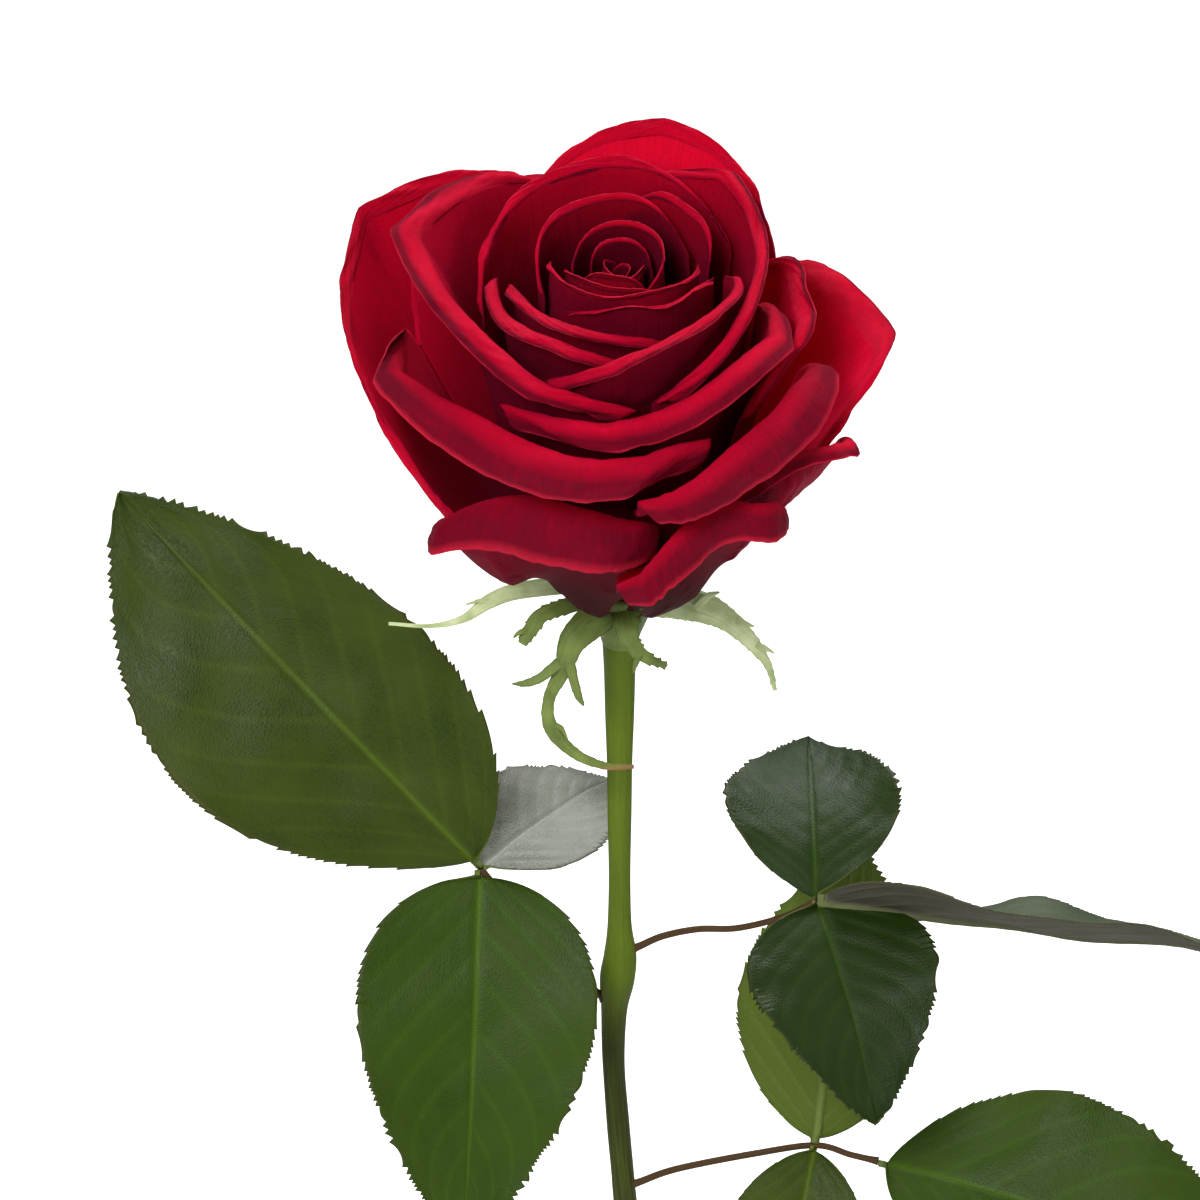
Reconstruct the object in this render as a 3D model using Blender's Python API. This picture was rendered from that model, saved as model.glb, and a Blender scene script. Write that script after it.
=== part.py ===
"""A cut rose standing in a plain bud vase: a Blender model in metres, +Z up.

The origin is the middle of the vase's flat foot. The flower leans and faces towards -Y. Lengths
below are millimetres and angles are degrees; MM turns them into Blender's metres. What stands above
the vase is placed from the middle of its mouth, so that it rises and sinks with the vase.

The petals are laid on the flower's axis from the inside out. Each one starts as a cup with a rolled
rim, and is then seated: wherever it would touch the petals inside it, it is pushed outwards.
"""

import math

import bpy
import numpy as np
from mathutils import Matrix, Vector

MM = 0.001

# Clearances between separate pieces.
TOUCH_GAP = 0.35        # pieces that rest on or grow from one another
PETAL_GAP = 0.50        # between one petal and the next

# Vase: its radius is the outside one, and its neck is the narrow part below the lip.
VASE_HEIGHT = 172.0
VASE_FOOT_RADIUS = 27.0
VASE_BELLY_RADIUS = 36.0
VASE_BELLY_HEIGHT = 50.0
VASE_NECK_RADIUS = 11.0
VASE_NECK_HEIGHT = 135.0
VASE_LIP_RADIUS = 15.0
VASE_WALL = 3.0
VASE_FLOOR = 6.0
VASE_SIDES = 32

# Stem: it stands on the vase's floor, leans on the front of the neck and swells at the joint where
# two of the leaves grow.
STEM_THICKNESS = 3.8    # diameter of its plain length
STEM_SIDES = 10
NECK_CLEARANCE = 0.8    # between the stem and the inside of the neck
STEM_ABOVE = (
    # x, y, z from the mouth, thickness as a share of the plain one
    (1.3, -5.9, 10.0, 1.0),
    (0.6, -6.5, 22.0, 1.0),
    (-0.3, -7.0, 33.0, 1.0),
    (-1.0, -7.5, 44.0, 1.0),
    (-0.9, -8.0, 53.0, 1.1),
    (-0.4, -8.5, 59.0, 1.5),
    (0.1, -8.8, 63.5, 1.4),
    (0.0, -9.2, 70.0, 1.0),
    (0.0, -10.1, 84.0, 1.0),
    (0.0, -11.2, 100.0, 1.1),
    (0.0, -12.9, 112.0, 1.3),
)

# Flower.
FLOWER_BASE = (0.0, -20.0, 131.0)   # where the petals leave the receptacle, from the mouth
FLOWER_LEAN = 25.0                  # the flower's axis from upright, towards -Y
HIP_RADIUS = 5.8
HIP_LENGTH = 11.0
HIP_FOOT_RADIUS = 3.0
RECEPTACLE_RISE = 3.0               # of its middle above FLOWER_BASE
RECEPTACLE_CROWN = 1.0              # of its middle above its edge
PETAL_THICKNESS = 0.40

# Leaves. A stalk grows from the stem at a height and thins from the first radius to the second; its
# points and its leaflets' tips are x, y, z from the mouth.
STALK_RADII = (0.60, 0.50)
STALKS = {
    "leaf_1_stalk": (58.0, (
        (-10.4, -10.2, 63.5), (-17.6, -11.6, 73.4), (-22.7, -13.0, 80.2),
    )),
    "leaf_2_stalk": (64.6, (
        (7.2, -10.0, 67.2), (12.8, -12.0, 69.2), (19.2, -14.0, 70.2),
        (26.4, -16.0, 72.9), (31.9, -17.1, 76.1),
    )),
    "leaf_3_stalk": (21.7, (
        (9.6, -8.0, 24.8), (22.4, -10.4, 28.6), (32.3, -12.3, 30.9),
        (38.1, -13.2, 29.6), (42.6, -14.0, 28.8),
    )),
}

# A leaflet's first row lies this far from its stalk: its name, the point of the stalk's line it grows
# at, the direction it leaves in, its tip, the direction its upper side faces, its half width, arch,
# twist at its base and droop.
LEAFLET_FOOT = 0.9
LEAFLETS = (
    ("leaf_1_leaflet_1", -1, (-0.9, -0.4, 1.6), (-80.8, -2.0, 141.0), (0, -0.94, 0.34), 24, 3, 0, 1),
    ("leaf_1_leaflet_2", -1, (-0.6, -1.6, -1.3), (-25.3, -32.0, 20.5), (0.1, -0.94, 0.34), 19.6, 3, 0, 1),
    ("leaf_1_leaflet_3", -1, (1.3, 1.6, 1.2), (-1.3, 16.0, 84.5), (0.1, -0.5, 0.86), 11, 2, 0, 0),
    ("leaf_2_leaflet_1", -1, (-0.1, 0.9, 1.5), (31.2, 14.0, 96.5), (0, -0.47, 0.88), 14.5, 2, 0, 2),
    ("leaf_2_leaflet_2", -1, (0.5, -1.2, -1.4), (42.0, -42.0, 50.0), (0.1, -0.75, 0.65), 15.5, 3, 0, 2),
    ("leaf_2_leaflet_3", -1, (1.7, -0.3, 0.8), (107.2, -26.0, 69.8), (0.08, 0.3, 0.95), 17, 0, 30, 0),
    ("leaf_3_leaflet_1", -3, (0.0, 1.0, 1.5), (38.7, 10.0, 75.8), (-0.1, 0.89, -0.45), 15.5, 2, 0, 1),
    ("leaf_3_leaflet_2", -1, (1.4, -0.4, 0.0), (107.0, -34.0, 16.9), (0.1, -0.75, 0.65), 19, 3, 0, 2),
    ("leaf_3_leaflet_3", -3, (-0.9, -1.1, -1.7), (24.0, -30.0, -4.0), (0, -0.9, 0.4), 12, 2, 0, 2),
)
# The half width and the bulge of a leaflet's two sides, the left one seen from its base first: a share
# of the half width, and a power that moves the widest place towards the base (below 1) or the tip.
LEAF_SHAPES = {
    "other": ((1.0, 0.85), (1.0, 0.85)),
    "leaf_1_leaflet_1": ((1.08, 1.05), (0.84, 0.72)),
    "leaf_1_leaflet_2": ((1.0, 0.62), (1.0, 0.62)),
    "leaf_2_leaflet_1": ((1.0, 1.0), (1.0, 1.0)),
    "leaf_2_leaflet_2": ((1.0, 0.65), (1.0, 0.65)),
}
LEAF_THICKNESS = 0.40
LEAF_ROWS = 10
LEAF_COLUMNS = 4

# Sepals: where each leaves the hip, as an angle about the flower's axis from its right-hand side, its
# half width there, and then its middle line and half width as x, y, z from FLOWER_BASE. They face -Y.
SEPALS = {
    "sepal_1": (165, 1.6, (
        (-16.0, -3.0, 1.0, 1.5), (-20.8, -3.0, -0.8, 1.3), (-25.1, -3.0, -3.8, 0.7),
        (-30.4, -3.0, -5.0, 0.35), (-37.0, -3.0, -4.6, 0.25),
    )),
    "sepal_2": (208, 1.3, (
        (-12.0, -6.0, -1.8, 1.3), (-14.0, -6.4, -4.0, 1.3), (-15.6, -6.4, -6.8, 0.8),
    )),
    "sepal_3": (243, 3.1, (
        (-7.4, -8.8, -5.2, 2.5), (-9.0, -8.5, -10.2, 1.5), (-11.4, -7.0, -16.2, 1),
        (-10.9, -5.5, -21.8, 1.2), (-7.0, -4.0, -26.6, 0.9), (-2.2, -2.0, -29.4, 0.6),
        (2.2, -0.5, -30.1, 0.3),
    )),
    "sepal_4": (282, 2.2, (
        (1.2, -8.0, -4.6, 1.8), (3.4, -6.9, -8.4, 1.1), (7.4, -5.4, -11.0, 0.4),
    )),
    "sepal_5": (338, 3.0, (
        (12.8, -5.6, -0.8, 2.8), (17.3, -6.0, -3.0, 2), (21.1, -6.0, -6.8, 1.3),
        (23.7, -5.5, -10.9, 0.6), (24.8, -5.0, -15.2, 0.3),
    )),
}
SEPAL_THICKNESS = 0.40
SEPAL_ROWS = 11
SEPAL_COLUMNS = 2

# Fine grid on which petals are seated; the solids take every few of its lines.
SOLID_STEP = 5.0        # about how wide a cell of a petal's solid is
SETTLING = 12           # passes that smooth how far a petal is pushed
WAVE = 0.55             # how much a crest wanders in and out and up and down
ACROSS = 48
ALONG = 48
BODY_ROWS = 32

# Each petal, from the inside out. Facing and half width are angles about the flower's axis, from
# its right-hand side: the back is 90 and the front is 270. Crest is the radius and height where
# the cup ends and lean is its slope there. The rim beyond it is so long, and turns outwards by the
# three angles at the petal's smaller angle, middle and larger angle. Spiral is added to the radius
# at the larger angle and taken off at the other, slant lowers the edge at the larger angle (the
# other one if it is negative), and cut rounds both corners. A turn below 0 counts as none, and keeps
# more of its side upright.
PETALS = (
    # name, facing, half width, crest radius, height, lean, rim, turns, spiral, slant, cut
    ("petal_heart_1", 20, 150, 1.4, 68.5, 92, 1.5, (20, 10, 20), 0.4, 0, 0.03),
    ("petal_heart_2", 200, 125, 2.2, 69.5, 92, 1.5, (20, 10, 20), 0.4, 0, 0.04),
    ("petal_heart_3", 310, 105, 3.2, 70.0, 92, 1.5, (20, 10, 20), 0.4, 0, 0.05),
    ("petal_heart_4", 100, 105, 4.2, 71.0, 92, 1.5, (20, 10, 20), 0.4, 0, 0.05),
    ("petal_heart_5", 255, 75, 5.0, 72.0, 92, 1.5, (20, 15, 20), 0.3, 0, 0.07),
    ("petal_heart_6", 60, 130, 6.8, 72.4, 92, 1.5, (20, 20, 20), 0.4, 0, 0.04),
    ("petal_heart_7", 250, 85, 8.0, 72.5, 92, 1.5, (30, 20, 30), 0.4, 0, 0.06),
    ("petal_ring_1", 268, 100, 11.0, 73.5, 92, 1.5, (50, 30, 50), 0.6, 0, 0.05),
    ("petal_ring_2", 112, 88, 12.2, 73.0, 90, 1.5, (50, 30, 50), 0.5, 0, 0.06),
    ("petal_ring_3", 45, 52, 13.8, 73.0, 88, 1.5, (50, 40, 50), 0.5, 0, 0.07),
    ("petal_ring_4", 290, 66, 13.0, 73.0, 88, 1.5, (60, 60, 60), 0.5, 0, 0.05),
    ("petal_ring_5", 240, 60, 16.5, 71.5, 85, 2.8, (100, 110, 120), -1.0, 0, 0.06),
    ("petal_ring_6", 226, 54, 19.0, 71.0, 82, 3.4, (100, 110, 120), -0.5, 0, 0.07),
    ("petal_ring_7", 306, 66, 18.4, 72.0, 84, 3.0, (110, 90, 60), -1.5, 0, 0.08),
    ("petal_mid_1", 112, 78, 20.5, 71.5, 84, 2.0, (50, 40, 50), -2.0, 0, 0.10),
    ("petal_mid_2", 15, 92, 20.8, 70.0, 82, 3.0, (110, 60, 40), 2.0, 0, 0.12),
    ("petal_mid_3", 192, 84, 25.5, 71.0, 72, 5.5, (50, 80, 120), -7.0, 0, 0.12),
    ("petal_mid_4", 300, 74, 23.0, 65.5, 78, 6.5, (140, 130, 50), -1.0, 0.03, 0.08),
    ("petal_mid_5", 0, 40, 26.0, 62.5, 76, 4.0, (90, 40, 50), 0.5, 0, 0.14),
    ("petal_outer_1", 240, 60, 31.0, 61.0, 72, 10.0, (-30, 140, 150), -3.5, 0, 0.06),
    ("petal_outer_2", 316, 42, 30.0, 59.5, 72, 10.0, (150, 140, 40), 0.5, 0.08, 0.08),
    ("petal_outer_3", 80, 45, 38.0, 62.0, 62, 3.0, (50, 20, 50), 0.5, 0, 0.24),
    ("petal_outer_4", 20, 52, 38.5, 52.5, 56, 5.0, (50, 30, 50), 0.5, 0.12, 0.24),
    ("petal_outer_5", 125, 40, 36.5, 54.0, 60, 4.0, (50, 40, 50), 0.5, 0, 0.14),
    ("petal_outer_6", 155, 74, 40.5, 57.5, 76, 3.5, (40, 20, 50), 0.5, 0, 0.28),
    ("petal_outer_7", 321, 28, 29.0, 47.0, 64, 5.0, (120, 100, 80), 0.5, 0, 0.14),
    ("petal_outer_8", 252, 30, 30.0, 47.5, 66, 13.5, (110, 140, 120), 0.5, 0, 0.14),
    ("petal_outer_9", 294, 25, 28.5, 46.5, 68, 10.0, (130, 140, 120), 0.5, 0, 0.12),
)

# Petals whose rim comes to a point: where across it, from -1 to 1, and how far it stands out.
TIPS = {
    "petal_mid_2": (0.40, 4.0),
    "petal_mid_3": (-0.22, 5.0),
    "petal_mid_4": (0.50, 4.0),
    "petal_outer_1": (-0.58, 5.0),
    "petal_outer_2": (0.80, 3.0),
    "petal_outer_3": (0.0, 1.0),
    "petal_outer_4": (-0.35, 4.0),
    "petal_outer_6": (-0.05, 5.0),
    "petal_outer_7": (0.4, 2.5),
}


def clear_scene():
    for item in list(bpy.data.objects):
        bpy.data.objects.remove(item)


def smooth(x):
    """0 at 0, 1 at 1, level at both ends."""
    x = np.clip(x, 0.0, 1.0)
    return x * x * (3 - 2 * x)


def cup_profile(crest_radius, crest_height, start_radius, start_height, lean, tau):
    """(radius, height, slope) along a petal's cup, from the receptacle at tau 0 to its crest at 1.

    It is one cubic curve: it leaves the receptacle at a slope of its own and arrives at lean."""
    rise = crest_height - start_height
    leave = np.radians(72 - 0.85 * crest_radius)
    arrive = np.radians(lean)
    reach = 0.42 * np.hypot(rise, crest_radius - start_radius)
    points = (
        (start_radius, start_height),
        (start_radius + reach * np.cos(leave), start_height + reach * np.sin(leave)),
        (crest_radius - reach * np.cos(arrive), crest_height - reach * np.sin(arrive)),
        (crest_radius, crest_height),
    )
    s = 1 - tau
    weights = (s**3, 3 * s * s * tau, 3 * s * tau * tau, tau**3)
    radius = sum(w * p[0] for w, p in zip(weights, points))
    height = sum(w * p[1] for w, p in zip(weights, points))
    slopes = (3 * s * s, 6 * s * tau, 3 * tau * tau)
    run = sum(w * (q[0] - p[0]) for w, p, q in zip(slopes, points, points[1:]))
    climb = sum(w * (q[1] - p[1]) for w, p, q in zip(slopes, points, points[1:]))
    return radius, height, np.arctan2(climb, run)


def free_petal(order, row):
    """(angle, radius, height) of a petal before it is seated, as arrays over ACROSS and ALONG."""
    name, facing, half, crest_radius, crest_height, lean, rim, turns, spiral, slant, cut = row
    side = np.linspace(-1, 1, ACROSS + 1)[:, None]
    lines = np.arange(ALONG + 1)[None, :]
    body = np.clip(lines / BODY_ROWS, 0, 1)
    rolled = np.clip((lines - BODY_ROWS) / (ALONG - BODY_ROWS), 0, 1)

    share = order / (len(PETALS) - 1)
    start_radius = 0.8 + (HIP_RADIUS - 1.6) * share
    start_height = RECEPTACLE_RISE + TOUCH_GAP - RECEPTACLE_CROWN * (start_radius / HIP_RADIUS) ** 2
    wave = np.sin(3.1 * side + 2.4 * order) + 0.6 * np.sin(6.7 * side + 1.3 * order)
    tilted = abs(slant) * (1 + np.sign(slant) * side) / 2
    tau = body * (1 - cut * np.abs(side) ** 3 - tilted)
    radius, height, slope = cup_profile(
        crest_radius, crest_height, start_radius, start_height, lean, tau
    )
    ripple = WAVE * min(1.0, crest_radius / 20)
    radius = radius + spiral * side * tau**2 + ripple * wave * tau**4
    height = height + ripple * wave[::-1] * tau**4
    tip_at, tip_size = TIPS.get(name, (0.0, 0.0))
    tip = tip_size * np.exp(-np.abs(side - tip_at) / 0.22) * tau**5
    radius = radius + 0.8 * tip
    height = height + 0.4 * tip

    # The rim is followed in small steps, as its slope turns fast at first and then settles.
    first, middle, last = turns
    most = middle + (last - first) / 2 * side + ((first + last) / 2 - middle) * side**2
    most = np.radians(np.clip(most, 0, 160))
    settled = most * (1 - (1 - rolled) ** 2)
    length = rim * (1 - 0.55 * np.abs(side) ** 2.5) / (ALONG - BODY_ROWS)
    between = slope[:, BODY_ROWS:] - (settled[:, BODY_ROWS:] + settled[:, BODY_ROWS - 1:-1]) / 2
    steps = length * np.cos(between)
    radius[:, BODY_ROWS + 1:] += np.cumsum(steps[:, 1:], 1)
    steps = length * np.sin(between)
    height[:, BODY_ROWS + 1:] += np.cumsum(steps[:, 1:], 1)

    width = 0.30 + 0.70 * smooth(body * 1.25) - 0.12 * rolled**2
    angle = np.radians(facing + half * side * width)
    return angle, np.maximum(radius, 0.6), height


class Envelope:
    """How far out the petals laid so far reach, by angle about the flower's axis and by height."""

    TURN = 144                  # bins round the axis
    LOWEST, HIGHEST = -6.0, 90.0
    STEP = 0.5                  # bin height

    def __init__(self):
        self.reach = np.zeros((self.TURN, int((self.HIGHEST - self.LOWEST) / self.STEP)))

    def bins(self, angle, height):
        turn = np.floor(angle / (2 * math.pi) * self.TURN).astype(int) % self.TURN
        level = np.floor((height - self.LOWEST) / self.STEP).astype(int)
        return turn, np.clip(level, 0, self.reach.shape[1] - 1)

    def add(self, angle, radius, height):
        fine = [refine(grid, 4) for grid in (angle, radius, height)]
        turn, level = self.bins(fine[0], fine[2])
        np.maximum.at(self.reach, (turn, level), fine[1])

    def needed(self, angle, height):
        """The radius that everything inside reaches at these places, neighbouring bins included."""
        wide = np.maximum.reduce([np.roll(self.reach, k, 0) for k in (-1, 0, 1)])
        tall = np.pad(wide, ((0, 0), (1, 1)), mode="edge")
        wide = np.maximum.reduce([tall[:, k:k + wide.shape[1]] for k in range(3)])
        return wide[self.bins(angle, height)]


def refine(grid, times):
    """The grid with each interval cut in a number of parts, straight between its own points."""
    for axis in (0, 1):
        count = grid.shape[axis]
        at = np.linspace(0, count - 1, (count - 1) * times + 1)
        low = np.minimum(at.astype(int), count - 2)
        part = (at - low).reshape((-1, 1) if axis == 0 else (1, -1))
        grid = np.take(grid, low, axis) * (1 - part) + np.take(grid, low + 1, axis) * part
    return grid


def spread(grid):
    """Each point as the largest of its neighbourhood, so that a solid's wide cells stay clear too."""
    for axis in (0, 1):
        padded = np.pad(grid, [(2, 2) if k == axis else (0, 0) for k in (0, 1)], mode="edge")
        parts = [np.take(padded, range(k, k + grid.shape[axis]), axis) for k in range(5)]
        grid = np.maximum.reduce(parts)
    return grid


def blurred(grid):
    """Each point as a mean over its neighbourhood, which is wider across the petal than along."""
    padded = np.pad(grid, ((3, 3), (1, 1)), mode="edge")
    across = sum(padded[k:k + grid.shape[0]] for k in range(7)) / 7
    return (across[:, :-2] + 2 * across[:, 1:-1] + across[:, 2:]) / 4


def seated_petals():
    """{name: (angle, radius, height)} of every petal, each clear of those inside it."""
    envelope = Envelope()
    seated = {}
    clear = PETAL_GAP + PETAL_THICKNESS
    for order, row in enumerate(PETALS):
        angle, radius, height = free_petal(order, row)
        short = envelope.needed(angle, height)
        short = np.where(short > 0, short + clear - radius, 0.0).clip(0)
        short = np.maximum(short, short[:, BODY_ROWS:].max(1, keepdims=True)
                           * (np.arange(ALONG + 1)[None, :] >= BODY_ROWS))
        push = short = spread(short)
        for _ in range(SETTLING):
            push = np.maximum(short, blurred(push))
        radius = radius + push
        envelope.add(angle, radius, height)
        seated[row[0]] = (angle, radius, height)
    return seated


def above_mouth(point):
    """A place given from the middle of the vase's mouth, as one from the origin."""
    return (point[0], point[1], point[2] + VASE_HEIGHT)


def flower_frame():
    """The flower's own frame in the world: X to its right, Y to its back, Z along its axis."""
    lean = math.radians(FLOWER_LEAN)
    turned = Matrix.Rotation(lean, 4, "X")
    return Matrix.Translation(Vector(above_mouth(FLOWER_BASE))) @ turned


def grid_points(angle, radius, height):
    """World points in millimetres of a grid given about the flower's axis."""
    local = np.stack([radius * np.cos(angle), radius * np.sin(angle), height], -1)
    frame = np.array(flower_frame())
    return local @ frame[:3, :3].T + frame[:3, 3]


def grid_normals(points):
    """Unit normals of a grid of points."""
    across = np.gradient(points, axis=0)
    along = np.gradient(points, axis=1)
    normal = np.cross(across, along)
    length = np.linalg.norm(normal, axis=-1, keepdims=True)
    return normal / np.maximum(length, 1e-9)


def sheet_mesh(name, points, normals, thickness):
    """A closed sheet: the grid and its copy a thickness away, joined round the edge."""
    rows, columns = points.shape[:2]
    front = points + normals * thickness / 2
    back = points - normals * thickness / 2
    vertices = np.concatenate([front.reshape(-1, 3), back.reshape(-1, 3)]) * MM
    count = rows * columns

    def at(i, j, side=0):
        return side * count + i * columns + j

    faces = []
    for i in range(rows - 1):
        for j in range(columns - 1):
            corners = (at(i, j), at(i + 1, j), at(i + 1, j + 1), at(i, j + 1))
            faces.append((corners[0], corners[1], corners[2]))
            faces.append((corners[0], corners[2], corners[3]))
            under = [c + count for c in corners]
            faces.append((under[2], under[1], under[0]))
            faces.append((under[3], under[2], under[0]))
    rim = [(i, 0) for i in range(rows)]
    rim += [(rows - 1, j) for j in range(1, columns)]
    rim += [(i, columns - 1) for i in range(rows - 2, -1, -1)]
    rim += [(0, j) for j in range(columns - 2, 0, -1)]
    for (i, j), (k, m) in zip(rim, rim[1:] + rim[:1]):
        faces.append((at(i, j), at(i, j, 1), at(k, m, 1), at(k, m)))
    mesh = bpy.data.meshes.new(name)
    mesh.from_pydata([tuple(v) for v in vertices], [], faces)
    mesh.update()
    return mesh


def show(name, mesh, material):
    item = bpy.data.objects.new(name, mesh)
    item.data.materials.append(material)
    bpy.context.scene.collection.objects.link(item)
    item.data.shade_smooth()
    return item


def material(name, colour, roughness):
    made = bpy.data.materials.new(name)
    made.use_nodes = True
    shader = made.node_tree.nodes["Principled BSDF"]
    shader.inputs["Base Color"].default_value = (*colour, 1)
    shader.inputs["Roughness"].default_value = roughness
    shader.inputs["Metallic"].default_value = 0.0
    return made


def every(count, cells):
    """Indices that cut a grid of count intervals into cells of nearly the same size."""
    return np.round(np.linspace(0, count, cells + 1)).astype(int)


def build_petals():
    red = material("petal", (0.45, 0.005, 0.02), 0.6)
    seated = seated_petals()
    for row in PETALS:
        name = row[0]
        points = grid_points(*seated[name])
        normals = grid_normals(points)
        crest, rim = row[3], row[6]
        columns = min(12, max(7, round(2 * math.radians(row[2]) * crest / SOLID_STEP)))
        i = every(ACROSS, columns)
        rolled = every(ALONG - BODY_ROWS, 5 if rim > 5 else 2)
        j = np.concatenate([every(BODY_ROWS, 5), BODY_ROWS + rolled[1:]])
        mesh = sheet_mesh(name, points[np.ix_(i, j)], normals[np.ix_(i, j)], PETAL_THICKNESS)
        show(name, mesh, red)


def curve_through(points, count):
    """Points spread along a smooth curve through the given ones."""
    known = np.asarray(points, float)
    ends = np.vstack([2 * known[0] - known[1], known, 2 * known[-1] - known[-2]])
    at = np.linspace(0, len(known) - 1, count)
    piece = np.minimum(at.astype(int), len(known) - 2)
    t = (at - piece)[:, None]
    before, start, end, after = (ends[piece + k] for k in range(4))
    return 0.5 * (
        2 * start
        + (end - before) * t
        + (2 * before - 5 * start + 4 * end - after) * t**2
        + (3 * start - before - 3 * end + after) * t**3
    )


def tube_mesh(name, middle, radii, sides, end=None):
    """A closed round tube about a line of points. end is the direction its last section faces."""
    tangents = np.gradient(middle, axis=0)
    tangents[-1] = tangents[-1] if end is None else end
    tangents /= np.linalg.norm(tangents, axis=1, keepdims=True)
    turns = np.linspace(0, 2 * math.pi, sides, endpoint=False)
    across = np.cross(tangents[0], (0.0, 1.0, 0.0))
    vertices = []
    for point, tangent, radius in zip(middle, tangents, radii):
        across = across - tangent * across.dot(tangent)
        across = across / np.linalg.norm(across)
        other = np.cross(tangent, across)
        for turn in turns:
            spoke = across * math.cos(turn) + other * math.sin(turn)
            vertices.append(point + spoke * radius)
    faces = []
    for k in range(len(middle) - 1):
        for n in range(sides):
            m = (n + 1) % sides
            low, high = k * sides, (k + 1) * sides
            faces.append((low + n, low + m, high + m, high + n))
    faces.append(tuple(reversed(range(sides))))
    faces.append(tuple(range(len(vertices) - sides, len(vertices))))
    return solid(name, vertices, faces)


def turned_mesh(name, profile, sides, frame=None):
    """A closed solid of revolution: the profile runs from the axis outwards and back to it."""
    inner = profile[1:-1]
    vertices = [(0.0, 0.0, profile[0][1])]
    for radius, height in inner:
        for n in range(sides):
            turn = 2 * math.pi * n / sides
            vertices.append((radius * math.cos(turn), radius * math.sin(turn), height))
    vertices.append((0.0, 0.0, profile[-1][1]))
    faces = []
    for n in range(sides):
        m = (n + 1) % sides
        faces.append((0, 1 + m, 1 + n))
        for k in range(len(inner) - 1):
            low, high = 1 + k * sides, 1 + (k + 1) * sides
            faces.append((low + n, low + m, high + m, high + n))
        top = 1 + (len(inner) - 1) * sides
        faces.append((top + n, top + m, len(vertices) - 1))
    if frame is not None:
        vertices = [tuple(frame @ Vector(v)) for v in vertices]
    return solid(name, vertices, faces)


def solid(name, vertices, faces):
    mesh = bpy.data.meshes.new(name)
    mesh.from_pydata([tuple(c * MM for c in v) for v in vertices], [], faces)
    mesh.update()
    return mesh


def vase_radius(height):
    """The vase's outside radius at a height."""
    if height < VASE_BELLY_HEIGHT:
        share = height / VASE_BELLY_HEIGHT
        swell = math.sin(share * math.pi / 2)
        return VASE_FOOT_RADIUS + (VASE_BELLY_RADIUS - VASE_FOOT_RADIUS) * swell
    if height < VASE_NECK_HEIGHT:
        share = (height - VASE_BELLY_HEIGHT) / (VASE_NECK_HEIGHT - VASE_BELLY_HEIGHT)
        swell = (1 + math.cos(share * math.pi)) / 2
        return VASE_NECK_RADIUS + (VASE_BELLY_RADIUS - VASE_NECK_RADIUS) * swell
    share = (height - VASE_NECK_HEIGHT) / (VASE_HEIGHT - VASE_NECK_HEIGHT)
    return VASE_NECK_RADIUS + (VASE_LIP_RADIUS - VASE_NECK_RADIUS) * share**3


def vase_profile():
    rim = VASE_WALL / 2
    outside = [(VASE_FOOT_RADIUS - 2.0, 0.0), (VASE_FOOT_RADIUS - 0.5, 0.5)]
    outside += [(vase_radius(z), z) for z in np.linspace(2.0, VASE_HEIGHT - rim, 15)]
    lip = [
        (VASE_LIP_RADIUS - rim + rim * math.cos(a), VASE_HEIGHT - rim + rim * math.sin(a))
        for a in np.linspace(0.25, 0.75, 3) * math.pi
    ]
    heights = np.linspace(VASE_HEIGHT - rim, VASE_FLOOR + 4.0, 14)
    inside = [(vase_radius(z) - VASE_WALL, z) for z in heights]
    corner = inside[-1][0]
    inside += [(corner - 1.5, VASE_FLOOR + 1.0), (corner - 5.0, VASE_FLOOR)]
    return [(0.0, 0.0)] + outside + lip + inside + [(0.0, VASE_FLOOR)]


def hip_profile():
    edge = RECEPTACLE_RISE - RECEPTACLE_CROWN
    return [
        (0.0, -HIP_LENGTH),
        (HIP_FOOT_RADIUS, -HIP_LENGTH),
        (HIP_FOOT_RADIUS + 0.5, -HIP_LENGTH * 0.8),
        (HIP_RADIUS * 0.78, -HIP_LENGTH * 0.5),
        (HIP_RADIUS * 0.94, -HIP_LENGTH * 0.2),
        (HIP_RADIUS, 0.0),
        (HIP_RADIUS * 0.97, edge * 0.8),
        (HIP_RADIUS * 0.85, edge + RECEPTACLE_CROWN * 0.25),
        (HIP_RADIUS * 0.5, edge + RECEPTACLE_CROWN * 0.75),
        (0.0, RECEPTACLE_RISE),
    ]


def unit(vector):
    return np.asarray(vector, float) / np.linalg.norm(vector)


def stalk_line(name):
    """A stalk's points, from beside the stem to its last leaflet."""
    height, points = STALKS[name]
    line = stem_line(stem_path())
    beside = line[np.argmin(np.abs(line[:, 2] - height - VASE_HEIGHT))]
    points = [above_mouth(point) for point in points]
    outwards = unit((points[0][0] - beside[0], points[0][1] - beside[1], 0.0))
    start = beside[:3] + outwards * (beside[3] + TOUCH_GAP + STALK_RADII[0])
    return [tuple(start)] + points


def leaf_width(name, half, body, side):
    """A leaflet's half width at these shares of its length, on its left or its right side."""
    left, right = (
        half * share * np.sin(math.pi * body**bulge) ** 0.7 * (1 - 0.25 * body**5)
        for share, bulge in LEAF_SHAPES.get(name, LEAF_SHAPES["other"])
    )
    return np.maximum(np.where(side < 0, left, right), 0.4)


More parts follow.
